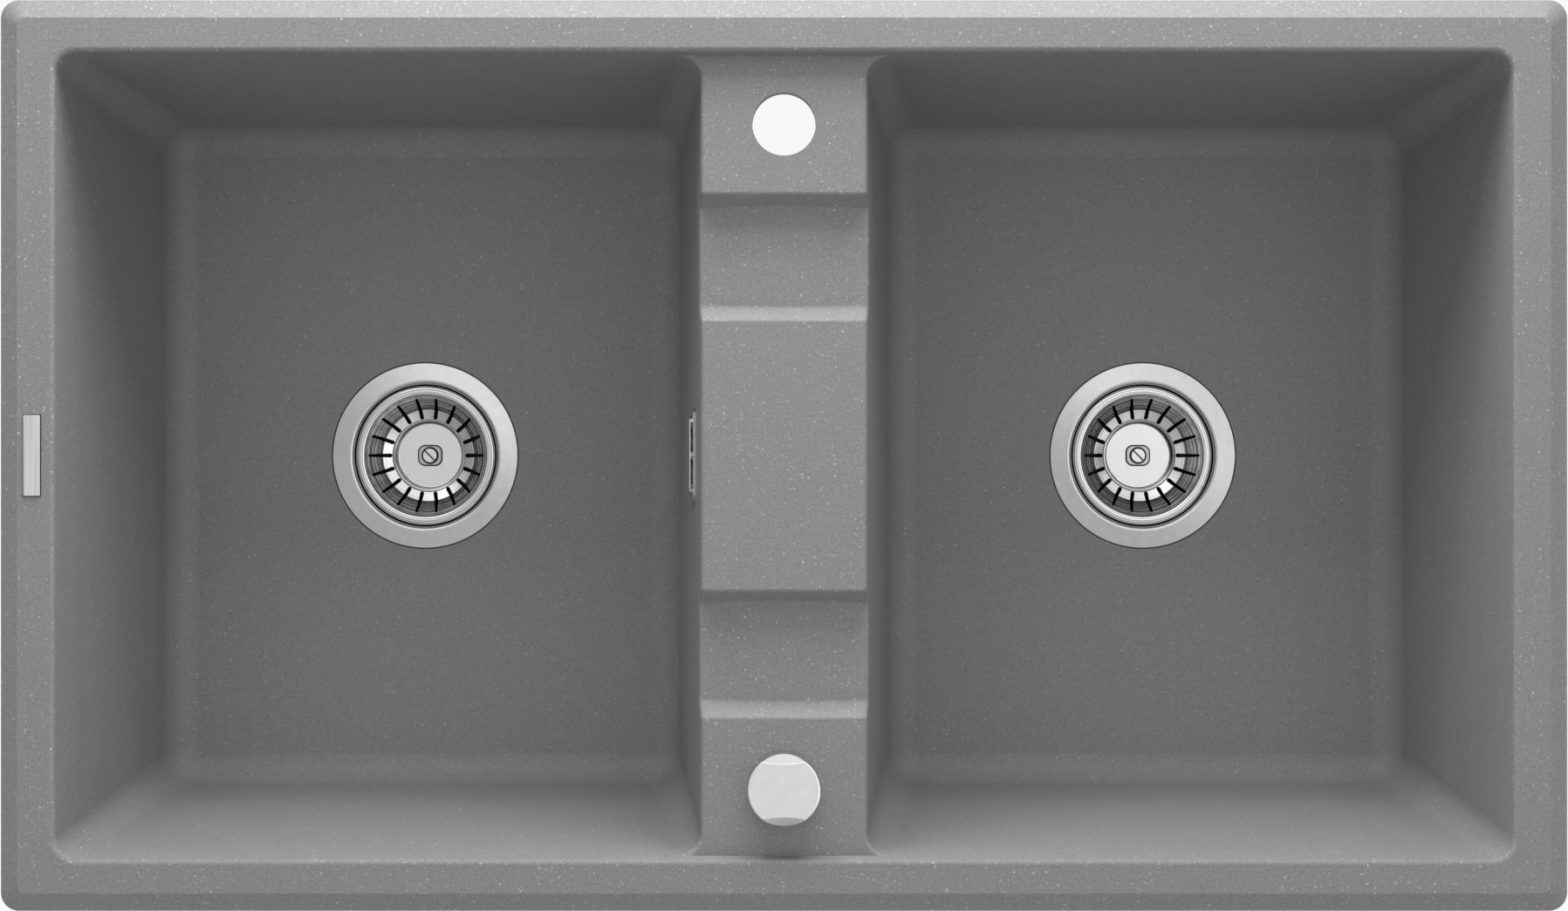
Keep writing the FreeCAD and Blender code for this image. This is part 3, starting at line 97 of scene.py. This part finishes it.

# The strainers: their places, the rim's slope, the foot of the basket's disc, of the rounded pad on it and of the
# screw's head, the side where the disc's crease gets a painted shadow, and the depth of the throat's painted shade
drain_offset = 222.1 * MM
rim_start = 46.8 * MM
rim_end = 57.0 * MM
rim_fall = 1.5 * MM
disc_edge = 20.9 * MM
pad_core = (3.1 * MM, 2.0 * MM, 0)
pad_corner = 4.2 * MM
screw_edge = 4.8 * MM
shaded_side = (0.45, 0.89, 0)
throat_z = -193.0 * MM
throat_shade_depth = 7.0 * MM

# The baskets: where the spun rings of the cup set in, their pitch and relief, the half widths of the creases' painted
# shade, where across the disc its crease's painted shadow begins and is full, in disc radii, how far inside its crease
# the pad's painted shade fades in, and how far below a screw's face its painted shade begins and is full
rings_start = 26 * MM
rings_full = 28 * MM
ring_pitch = 1.3 * MM
ring_relief = 0.2 * MM
shallow_crease = 0.5 * MM
deep_crease = 0.8 * MM
pad_crease = 0.7 * MM
dark_side_start = -0.2
dark_side_full = 0.5
pad_fade = 0.5 * MM
slot_shade_start = 0.1 * MM
slot_shade_full = 0.4 * MM

# Moulded polymers: the width of their clouds and the relief of the mould's spark texture
polymer_cloud = 20 * MM
spark_relief = 0.03 * MM

# A black strip round the badge plate: painted shade for its dark outline
badge_middle = (-411.2 * MM, 0.0, 8.15 * MM)
badge_shade_strip_size = (10.0 * MM, 45.0 * MM, 0.3 * MM)

# Light and floor: floor_white is the share of the floor that is plain white, and the rest takes shadows
floor_size = 12.0
floor_gap = 0.5 * MM
floor_white = 0.85
low_window_distance = 0.95
low_window_height = 0.145
low_window_width = 0.9
low_window_tall = 0.25
low_window_power = 11.0
window_distance = 1.1
window_height = 0.445
window_width = 1.3
window_tall = 0.35
window_tilt = 20.0
window_power = 12.5
scrim_near = 0.262
scrim_far = 0.92
scrim_width = 3.0
scrim_height = -2 * MM
world_grey = "E4E4E4"
mirrored_strength = 1.6
bright_side = (0.6, 0.8, 0.0)

for leftover in list(bpy.data.objects):
    bpy.data.objects.remove(leftover)
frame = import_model()
cad_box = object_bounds()
nodes = frame["nodes"]


# Materials

def linear(code):
    """The linear colour of an sRGB hex value."""
    channels = []
    for start in (0, 2, 4):
        level = int(code[start:start + 2], 16) / 255
        channels.append(level / 12.92 if level <= 0.04045 else ((level + 0.055) / 1.055) ** 2.4)
    return (*channels, 1.0)


def add(tree, kind, settings=None, inputs=None, links=None):
    """Add a node: settings are its own choices, inputs its fixed values and links the outputs that feed it."""
    node = tree.nodes.new(kind)
    for name, value in (settings or {}).items():
        setattr(node, name, value)
    for name, value in (inputs or {}).items():
        node.inputs[name].default_value = value
    for name, output in (links or {}).items():
        tree.links.new(output, node.inputs[name])
    return node


def material(name, **surface):
    """A material with its shader's own values set, ready for what varies over the surface."""
    made = bpy.data.materials.new(name)
    made.use_nodes = True
    shader = made.node_tree.nodes["Principled BSDF"]
    for socket, value in surface.items():
        shader.inputs[socket.replace("_", " ")].default_value = value
    return made, made.node_tree, shader


def ramp(tree, source, stops):
    """Colours along a value: stops are (position, sRGB hex)."""
    node = add(tree, "ShaderNodeValToRGB", links={"Fac": source})
    elements = node.color_ramp.elements
    while len(elements) < len(stops):
        elements.new(1.0)
    for element, (position, code) in zip(elements, stops):
        element.position = position
        element.color = linear(code)
    return node.outputs["Color"]


def granite_composite():
    """Granite composite: quartz sand cast in acrylic resin. A matt grey with small pale grains in drifts, a few
    dark ones, and soft clouds where the sand settled unevenly."""
    made, tree, shader = material("granite_composite_cast_matt", Roughness=0.55)
    place = add(tree, "ShaderNodeTexCoord").outputs["Object"]
    cloud = add(tree, "ShaderNodeTexNoise", inputs={"Scale": 1 / cloud_width, "Detail": 3.0}, links={"Vector": place})
    body = ramp(tree, cloud.outputs["Fac"], [(0.3, "959595"), (0.7, "979797")])
    # Down in the bowls the grains are fainter and the colour is a shade lighter: painted light, making up for light
    # that the lamps don't bring there
    height = add(tree, "ShaderNodeSeparateXYZ", links={"Vector": place}).outputs["Z"]
    depth = add(tree, "ShaderNodeMapRange", inputs={"From Min": bowl_light_top, "From Max": bowl_light_foot},
                links={"Value": height}).outputs["Result"]
    body = add(tree, "ShaderNodeMix", {"data_type": "RGBA"}, {"B": linear("A0A0A0")},
               {"Factor": depth, "A": body}).outputs["Result"]
    sand = add(tree, "ShaderNodeTexNoise", inputs={"Scale": 1 / sand_width, "Detail": 2.0}, links={"Vector": place})
    grit = ramp(tree, sand.outputs["Fac"], [(0.3, "707070"), (0.7, "909090")])
    base = add(tree, "ShaderNodeMix", {"data_type": "RGBA", "blend_type": "OVERLAY"}, {"Factor": 0.6},
               {"A": body, "B": grit})
    colour = base.outputs["Result"]
    # The grains are chips, not beads: a fine noise pushes their outlines about by half a millimetre
    fine = add(tree, "ShaderNodeTexNoise", inputs={"Scale": 1 / chip_width, "Detail": 0.0}, links={"Vector": place})
    centred = add(tree, "ShaderNodeVectorMath", {"operation": "SUBTRACT"}, {1: (0.5, 0.5, 0.5)},
                  {0: fine.outputs["Color"]})
    push = add(tree, "ShaderNodeVectorMath", {"operation": "SCALE"}, {"Scale": chip_push},
               {0: centred.outputs["Vector"]})
    pushed = add(tree, "ShaderNodeVectorMath", {"operation": "ADD"}, {},
                 {0: place, 1: push.outputs["Vector"]}).outputs["Vector"]
    patch = add(tree, "ShaderNodeTexNoise", inputs={"Scale": 1 / drift_width, "Detail": 2.0}, links={"Vector": place})
    clump = add(tree, "ShaderNodeMapRange", inputs={"From Min": 0.4, "From Max": 0.6, "To Min": 0.55},
                links={"Value": patch.outputs["Fac"]}).outputs["Result"]
    faint = add(tree, "ShaderNodeMapRange", inputs={"To Min": 1.0, "To Max": 0.8}, links={"Value": depth})
    drift = add(tree, "ShaderNodeMath", {"operation": "MULTIPLY"}, {},
                {0: clump, 1: faint.outputs["Result"]}).outputs["Value"]
    # Cell size, grain radius as a share of the cell, share of cells left empty, colour and strength
    grains = [
        (3.6 * MM, 0.18, 0.6, "D4D4D4", 0.62),
        (2.3 * MM, 0.2, 0.45, "C8C8C8", 0.55),
        (1.5 * MM, 0.22, 0.4, "BCBCBC", 0.5),
        (2.8 * MM, 0.17, 0.5, "5A5A5A", 0.6),
    ]
    for cell, radius, empty, code, strength in grains:
        spots = add(tree, "ShaderNodeTexVoronoi", inputs={"Scale": 1 / cell}, links={"Vector": pushed})
        near = add(tree, "ShaderNodeMapRange", inputs={"From Min": radius, "From Max": radius * 0.5},
                   links={"Value": spots.outputs["Distance"]})
        chance = add(tree, "ShaderNodeSeparateColor", links={"Color": spots.outputs["Color"]})
        kept = add(tree, "ShaderNodeMath", {"operation": "GREATER_THAN"}, {1: empty}, {0: chance.outputs["Red"]})
        share = add(tree, "ShaderNodeMath", {"operation": "MULTIPLY"}, {},
                    {0: near.outputs["Result"], 1: kept.outputs["Value"]})
        soft = add(tree, "ShaderNodeMath", {"operation": "MULTIPLY"}, {1: strength}, {0: share.outputs["Value"]})
        drifted = add(tree, "ShaderNodeMath", {"operation": "MULTIPLY"}, {}, {0: soft.outputs["Value"], 1: drift})
        mix = add(tree, "ShaderNodeMix", {"data_type": "RGBA"}, {"B": linear(code)},
                  {"Factor": drifted.outputs["Value"], "A": colour})
        colour = mix.outputs["Result"]
    tree.links.new(colour, shader.inputs["Base Color"])
    bump = add(tree, "ShaderNodeBump", inputs={"Strength": 0.5, "Distance": sand_relief},
               links={"Height": sand.outputs["Fac"]})
    tree.links.new(bump.outputs["Normal"], shader.inputs["Normal"])
    return made


def from_drain(tree, place):
    """The level vector from the axis of the nearer drain to a place, and its length."""
    aside = add(tree, "ShaderNodeVectorMath", {"operation": "MULTIPLY"}, {1: (1, 0, 0)}, {0: place})
    toward = add(tree, "ShaderNodeVectorMath", {"operation": "NORMALIZE"}, {}, {0: aside.outputs["Vector"]})
    axis = add(tree, "ShaderNodeVectorMath", {"operation": "SCALE"}, {"Scale": drain_offset},
               {0: toward.outputs["Vector"]})
    centred = add(tree, "ShaderNodeVectorMath", {"operation": "SUBTRACT"}, {},
                  {0: place, 1: axis.outputs["Vector"]})
    level = add(tree, "ShaderNodeVectorMath", {"operation": "MULTIPLY"}, {1: (1, 1, 0)},
                {0: centred.outputs["Vector"]}).outputs["Vector"]
    return level, add(tree, "ShaderNodeVectorMath", {"operation": "LENGTH"}, {}, {0: level}).outputs["Value"]


def line_at(tree, distance, where, half_width):
    """A soft line, 1 where a distance has a value and 0 half its width to either side of it."""
    off = add(tree, "ShaderNodeMath", {"operation": "SUBTRACT"}, {1: where}, {0: distance})
    away = add(tree, "ShaderNodeMath", {"operation": "ABSOLUTE"}, {}, {0: off.outputs["Value"]})
    return add(tree, "ShaderNodeMapRange", inputs={"From Min": half_width, "From Max": half_width * 0.5},
               links={"Value": away.outputs["Value"]}).outputs["Result"]


def steel(name, roughness, dark, light):
    """Stainless steel with a faint haze from its pickling, and the fine grain that blurs what it mirrors."""
    made, tree, shader = material(name, Metallic=1.0, Roughness=roughness)
    place = add(tree, "ShaderNodeTexCoord").outputs["Object"]
    haze = add(tree, "ShaderNodeTexNoise", inputs={"Scale": 1 / steel_haze, "Detail": 4.0}, links={"Vector": place})
    colour = ramp(tree, haze.outputs["Fac"], [(0.3, dark), (0.7, light)])
    tree.links.new(colour, shader.inputs["Base Color"])
    grain = add(tree, "ShaderNodeTexNoise", inputs={"Scale": 1 / metal_grain, "Detail": 2.0}, links={"Vector": place})
    bump = add(tree, "ShaderNodeBump", inputs={"Strength": 0.15, "Distance": metal_relief},
               links={"Height": grain.outputs["Fac"]})
    tree.links.new(bump.outputs["Normal"], shader.inputs["Normal"])
    return made, tree, shader, place, colour, bump


def satin_steel():
    """Stainless steel, pressed and tumbled to a satin: bright, slightly blurred reflections."""
    return steel("stainless_steel_pressed_satin", 0.2, "D2D2D2", "D8D8D8")[0]


def basket_steel():
    """The baskets' spun steel: polished, with the fine rings of its spinning round the cup and the lip, which break
    its reflections into thin bright and dark circles, painted shade in the rings' grooves, and painted shade in the
    creases round the disc, its pad and the screw's head and on the pad's top."""
    made, tree, shader, place, colour, bump = steel("stainless_steel_spun", 0.15, "DEDEDE", "E2E2E2")
    level, radius = from_drain(tree, place)
    rings = add(tree, "ShaderNodeTexNoise", {"noise_dimensions": "1D"}, {"Scale": 1 / ring_pitch, "Detail": 1.0},
                {"W": radius})
    cup = add(tree, "ShaderNodeMapRange", inputs={"From Min": rings_start, "From Max": rings_full},
              links={"Value": radius})
    spun = add(tree, "ShaderNodeBump", inputs={"Distance": ring_relief},
               links={"Strength": cup.outputs["Result"], "Height": rings.outputs["Fac"]})
    tree.links.new(spun.outputs["Normal"], bump.inputs["Normal"])
    # Painted shade: the colour is darker in the rings' grooves
    groove = add(tree, "ShaderNodeMapRange", inputs={"From Min": 0.56, "From Max": 0.4, "To Max": 0.7},
                 links={"Value": rings.outputs["Fac"]})
    ring_groove_shade = add(tree, "ShaderNodeMath", {"operation": "MULTIPLY"}, {},
                 {0: groove.outputs["Result"], 1: cup.outputs["Result"]})
    # Painted shade: the pad's top is drawn a little darker than the disc round it
    spread = add(tree, "ShaderNodeVectorMath", {"operation": "ABSOLUTE"}, {}, {0: level})
    past = add(tree, "ShaderNodeVectorMath", {"operation": "SUBTRACT"}, {1: pad_core}, {0: spread.outputs["Vector"]})
    outside = add(tree, "ShaderNodeVectorMath", {"operation": "MAXIMUM"}, {1: (0, 0, 0)}, {0: past.outputs["Vector"]})
    from_pad = add(tree, "ShaderNodeVectorMath", {"operation": "LENGTH"}, {}, {0: outside.outputs["Vector"]})
    pad_top_shade = add(tree, "ShaderNodeMapRange", inputs={"From Min": pad_corner, "From Max": pad_corner - pad_fade,
                                                  "To Max": 0.5}, links={"Value": from_pad.outputs["Value"]})
    # The crease round the disc is drawn darker on the side of the tap: a painted shadow
    shaded = add(tree, "ShaderNodeVectorMath", {"operation": "DOT_PRODUCT"}, {1: shaded_side}, {0: level})
    shade = add(tree, "ShaderNodeMapRange",
                inputs={"From Min": dark_side_start * disc_edge, "From Max": dark_side_full * disc_edge},
                links={"Value": shaded.outputs["Value"]})
    edge = line_at(tree, radius, disc_edge, deep_crease)
    shaded_edge = add(tree, "ShaderNodeMath", {"operation": "MULTIPLY"}, {}, {0: edge, 1: shade.outputs["Result"]})
    # Painted shade: the rings' grooves, the disc's crease and its shadow, the pad's top, the screw's and pad's creases
    painted_creases = [(ring_groove_shade.outputs["Value"], "8E8E8E"), (line_at(tree, radius, disc_edge, shallow_crease), "6E6E6E"),
               (shaded_edge.outputs["Value"], "0C0C0C"), (pad_top_shade.outputs["Result"], "848484"),
               (line_at(tree, radius, screw_edge, deep_crease), "1E1E1E"),
               (line_at(tree, from_pad.outputs["Value"], pad_corner, pad_crease), "484848")]
    for share, code in painted_creases:
        colour = add(tree, "ShaderNodeMix", {"data_type": "RGBA"}, {"B": linear(code)},
                     {"Factor": share, "A": colour}).outputs["Result"]
    tree.links.new(colour, shader.inputs["Base Color"])
    return made


def screw_steel(top):
    """The basket screws' turned steel, with painted shade round the head and in its slot, below the head's face."""
    made, tree, shader, place, colour, _ = steel("stainless_steel_turned", 0.18, "DEDEDE", "E2E2E2")
    height = add(tree, "ShaderNodeSeparateXYZ", links={"Vector": place}).outputs["Z"]
    # Painted shade: below the head's face the colour goes dark
    slot_shade = add(tree, "ShaderNodeMapRange", inputs={"From Min": top - slot_shade_start, "From Max": top - slot_shade_full},
                links={"Value": height})
    slot_shaded = add(tree, "ShaderNodeMix", {"data_type": "RGBA"}, {"B": linear("606060")},
                {"Factor": slot_shade.outputs["Result"], "A": colour})
    tree.links.new(slot_shaded.outputs["Result"], shader.inputs["Base Color"])
    return made


def strainer_steel():
    """The strainers' pressed steel. Its broad rim falls away outward, so that one side of it catches the light, and
    below the throat it is painted dark as shade, so that the baskets' slots look black."""
    made, tree, shader, place, colour, bump = steel("stainless_steel_pressed_strainer", 0.24, "BEBEBE", "C4C4C4")
    height = add(tree, "ShaderNodeSeparateXYZ", links={"Vector": place}).outputs["Z"]
    # Painted shade: below the throat the colour goes nearly black
    depth = add(tree, "ShaderNodeMapRange", inputs={"From Min": throat_z, "From Max": throat_z - throat_shade_depth},
                links={"Value": height})
    throat_shaded = add(tree, "ShaderNodeMix", {"data_type": "RGBA"}, {"B": linear("1C1C1C")},
                 {"Factor": depth.outputs["Result"], "A": colour})
    tree.links.new(throat_shaded.outputs["Result"], shader.inputs["Base Color"])
    fall = add(tree, "ShaderNodeMapRange", inputs={"From Min": rim_start, "From Max": rim_end, "To Max": -rim_fall},
               links={"Value": from_drain(tree, place)[1]})
    cone = add(tree, "ShaderNodeBump", inputs={"Strength": 1.0, "Distance": 1.0},
               links={"Height": fall.outputs["Result"]})
    tree.links.new(cone.outputs["Normal"], bump.inputs["Normal"])
    return made


def brushed_steel():
    """Stainless steel, linished along its length: fine straight streaks."""
    made, tree, shader = material("stainless_steel_brushed", Metallic=1.0, Roughness=0.34)
    place = add(tree, "ShaderNodeTexCoord").outputs["Object"]
    # One streak every millimetre or so, far coarser than the belt's grit, so that it shows from above
    along = add(tree, "ShaderNodeMapping", links={"Vector": place},
                inputs={"Scale": (1 / streak_width, 1 / streak_length, 1 / streak_width)})
    streak = add(tree, "ShaderNodeTexNoise", inputs={"Scale": 1.0, "Detail": 3.0},
                 links={"Vector": along.outputs["Vector"]})
    tree.links.new(ramp(tree, streak.outputs["Fac"], [(0.25, "C4C4C4"), (0.75, "F4F4F4")]),
                   shader.inputs["Base Color"])
    bump = add(tree, "ShaderNodeBump", inputs={"Strength": 0.3, "Distance": metal_relief},
               links={"Height": streak.outputs["Fac"]})
    tree.links.new(bump.outputs["Normal"], shader.inputs["Normal"])
    return made


def satin_chrome():
    """Zinc casting, plated in satin chrome: a soft, even silver."""
    made, tree, shader = material("zinc_casting_satin_chrome", Metallic=1.0, Roughness=0.24)
    place = add(tree, "ShaderNodeTexCoord").outputs["Object"]
    haze = add(tree, "ShaderNodeTexNoise", inputs={"Scale": 1 / chrome_haze, "Detail": 3.0}, links={"Vector": place})
    tree.links.new(ramp(tree, haze.outputs["Fac"], [(0.3, "EAEAEA"), (0.7, "F0F0F0")]), shader.inputs["Base Color"])
    return made


def zinc_plate():
    """Mild steel, zinc plated and passivated: a cool grey with a mottled, slightly yellow sheen."""
    made, tree, shader = material("mild_steel_zinc_plated", Metallic=1.0, Roughness=0.36)
    place = add(tree, "ShaderNodeTexCoord").outputs["Object"]
    mottle = add(tree, "ShaderNodeTexNoise", inputs={"Scale": 1 / zinc_mottle, "Detail": 4.0}, links={"Vector": place})
    tree.links.new(ramp(tree, mottle.outputs["Fac"], [(0.3, "B7BABF"), (0.7, "CFCDC4")]), shader.inputs["Base Color"])
    return made


def plain_brass():
    """Free-cutting brass, turned: yellow with a darker bloom."""
    made, tree, shader = material("brass_turned", Metallic=1.0, Roughness=0.3)
    place = add(tree, "ShaderNodeTexCoord").outputs["Object"]
    bloom = add(tree, "ShaderNodeTexNoise", inputs={"Scale": 1 / brass_bloom, "Detail": 3.0}, links={"Vector": place})
    tree.links.new(ramp(tree, bloom.outputs["Fac"], [(0.3, "B08D4C"), (0.7, "CDAB62")]), shader.inputs["Base Color"])
    return made


def moulded(name, dark, light, roughness, texture):
    """A moulded polymer: an even colour with a faint cloud, and the fine spark texture of its mould."""
    made, tree, shader = material(name, Roughness=roughness)
    place = add(tree, "ShaderNodeTexCoord").outputs["Object"]
    cloud = add(tree, "ShaderNodeTexNoise", inputs={"Scale": 1 / polymer_cloud, "Detail": 2.0}, links={"Vector": place})
    tree.links.new(ramp(tree, cloud.outputs["Fac"], [(0.3, dark), (0.7, light)]), shader.inputs["Base Color"])
    spark = add(tree, "ShaderNodeTexNoise", inputs={"Scale": 1 / texture, "Detail": 1.0}, links={"Vector": place})
    bump = add(tree, "ShaderNodeBump", inputs={"Strength": 0.3, "Distance": spark_relief},
               links={"Height": spark.outputs["Fac"]})
    tree.links.new(bump.outputs["Normal"], shader.inputs["Normal"])
    return made


finishes = {
    "granite_composite": granite_composite(),
    "satin_steel": satin_steel(),
    "brushed_steel": brushed_steel(),
    "satin_chrome": satin_chrome(),
    "zinc_steel": zinc_plate(),
    "brass": plain_brass(),
    # EPDM, compression moulded: dull black with a faint cloud
    "black_rubber": moulded("epdm_rubber_moulded", "141414", "1C1C1C", 0.7, 1.0 * MM),
    # Polypropylene, injection moulded: waxy off-white
    "white_plastic": moulded("polypropylene_moulded_white", "E2E1DC", "E8E7E3", 0.4, 0.8 * MM),
    "grey_plastic": moulded("polypropylene_blown_grey", "8C8E90", "96989A", 0.45, 0.8 * MM),
    # Glass-filled nylon, injection moulded: charcoal with a dry surface
    "dark_plastic": moulded("nylon_moulded_charcoal", "26272A", "2E2F32", 0.5, 0.8 * MM),
}
for node in nodes.values():
    for slot in node.material_slots:
        slot.material = finishes[slot.material.name]
strainer_finish = strainer_steel()
basket_finish = basket_steel()
screw_finish = screw_steel(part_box("left_basket_screw")[1].z)
for side in ("left", "right"):
    nodes[side + "_strainer_flange"].material_slots[0].material = strainer_finish
    nodes[side + "_basket"].material_slots[0].material = basket_finish
    nodes[side + "_basket_screw"].material_slots[0].material = screw_finish


# A black strip round the badge: painted shade for the plate's outline

bpy.ops.object.select_all(action="DESELECT")
bpy.ops.mesh.primitive_cube_add(size=1, location=badge_middle, scale=badge_shade_strip_size)
bpy.ops.object.transform_apply(location=True, rotation=True, scale=True)
shade_strip = bpy.context.object
shade_strip.name = "badge_shade_strip"
# Black and matt, a hair past the plate all round: painted shade for the plate's dark outline
shade_strip.data.materials.append(moulded("black_shade_strip", "1A1A1A", "222222", 0.8, 0.5 * MM))
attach(shade_strip, "sink")


# Surroundings

def put(name, data, place, turn=(0, 0, 0)):
    made = bpy.data.objects.new(name, data)
    made.location = place
    made.rotation_euler = turn
    bpy.context.scene.collection.objects.link(made)
    return made


def softbox(name, width, tall, power, place, turn):
    lamp = bpy.data.lights.new(name, "AREA")
    lamp.shape = "RECTANGLE"
    lamp.size = width
    lamp.size_y = tall
    lamp.energy = power
    made = put(name, lamp, place, turn)
    made.visible_camera = False
    return made


def white_floor():
    """A pale floor that the camera and reflections see as white, with the object's shadow left on it."""
    made, tree, shader = material("white_paper_floor", Roughness=0.9)
    shader.inputs["Base Color"].default_value = linear("F4F4F4")
    glow = add(tree, "ShaderNodeEmission", inputs={"Color": linear("FFFFFF"), "Strength": 1.0})
    path = add(tree, "ShaderNodeLightPath")
    seen = add(tree, "ShaderNodeMath", {"operation": "MAXIMUM"}, {},
               {0: path.outputs["Is Camera Ray"], 1: path.outputs["Is Glossy Ray"]})
    share = add(tree, "ShaderNodeMath", {"operation": "MULTIPLY"}, {1: floor_white}, {0: seen.outputs["Value"]})
    blend = add(tree, "ShaderNodeMixShader", links={0: share.outputs["Value"], 1: shader.outputs["BSDF"],
                                                    2: glow.outputs["Emission"]})
    tree.links.new(blend.outputs["Shader"], tree.nodes["Material Output"].inputs["Surface"])
    return made


bpy.ops.object.select_all(action="DESELECT")
bpy.ops.mesh.primitive_plane_add(size=floor_size, location=(0, 0, cad_box[0].z - floor_gap))
floor = bpy.context.object
floor.name = "floor"
floor.data.materials.append(white_floor())


def scrim_net():
    """A net that lets a third of the light through."""
    made, tree = material("scrim_net")[:2]
    net = add(tree, "ShaderNodeBsdfTransparent", inputs={"Color": linear("A0A0A0")})
    tree.links.new(net.outputs["BSDF"], tree.nodes["Material Output"].inputs["Surface"])
    return made


# Level with the worktop behind the sink: without it the windows, which only have to reach the rim and the bowls,
# would burn out the backs of the bowls and the pipes
bpy.ops.object.select_all(action="DESELECT")
bpy.ops.mesh.primitive_plane_add(size=1, location=(0, (scrim_near + scrim_far) / 2, scrim_height))
scrim = bpy.context.object
scrim.name = "scrim"
scrim.scale = (scrim_width, scrim_far - scrim_near, 1)
scrim.data.materials.append(scrim_net())
scrim.visible_camera = False
scrim.visible_glossy = False

low_window = softbox("low_window", low_window_width, low_window_tall, low_window_power,
                     (0, low_window_distance, low_window_height), (-math.pi / 2, 0, 0))
window = softbox("window", window_width, window_tall, window_power, (0, window_distance, window_height),
                 (math.radians(window_tilt) - math.pi / 2, 0, 0))
# The windows are small and strong, so metal mirrors the room instead, which is bright toward the back right
for lamp in (low_window, window):
    lamp.visible_glossy = False


def room():
    """An even pale room for the light on the sink; metal mirrors one that is bright to the back and right only."""
    world = bpy.data.worlds.new("studio")
    world.use_nodes = True
    tree = world.node_tree
    even = tree.nodes["Background"]
    even.inputs["Color"].default_value = linear(world_grey)
    direction = add(tree, "ShaderNodeTexCoord").outputs["Generated"]
    toward = add(tree, "ShaderNodeVectorMath", {"operation": "DOT_PRODUCT"}, {1: bright_side}, {0: direction})
    share = add(tree, "ShaderNodeMapRange", inputs={"From Min": -1.0, "From Max": 1.0},
                links={"Value": toward.outputs["Value"]})
    shades = ramp(tree, share.outputs["Result"],
                  [(0.1, "707070"), (0.22, "909090"), (0.32, "B6B6B6"), (0.45, "B0B0B0"), (0.5, "C0C0C0"),
                   (0.55, "D4D4D4"), (0.6, "FFFFFF"), (0.72, "DCDCDC"), (0.82, "C8C8C8")])
    mirrored = add(tree, "ShaderNodeBackground", inputs={"Strength": mirrored_strength}, links={"Color": shades})
    path = add(tree, "ShaderNodeLightPath")
    blend = add(tree, "ShaderNodeMixShader", links={0: path.outputs["Is Glossy Ray"], 1: even.outputs["Background"],
                                                    2: mirrored.outputs["Background"]})
    tree.links.new(blend.outputs["Shader"], tree.nodes["World Output"].inputs["Surface"])
    return world


bpy.context.scene.world = room()

lens = bpy.data.cameras.new("camera")
lens.sensor_fit = "HORIZONTAL"
lens.sensor_width = sensor_width
lens.lens = photo_pixels_per_metre * camera_height / photo_width * sensor_width
bpy.context.scene.camera = put("camera", lens, (0, 0, camera_height))
bpy.context.scene.view_settings.view_transform = "Standard"
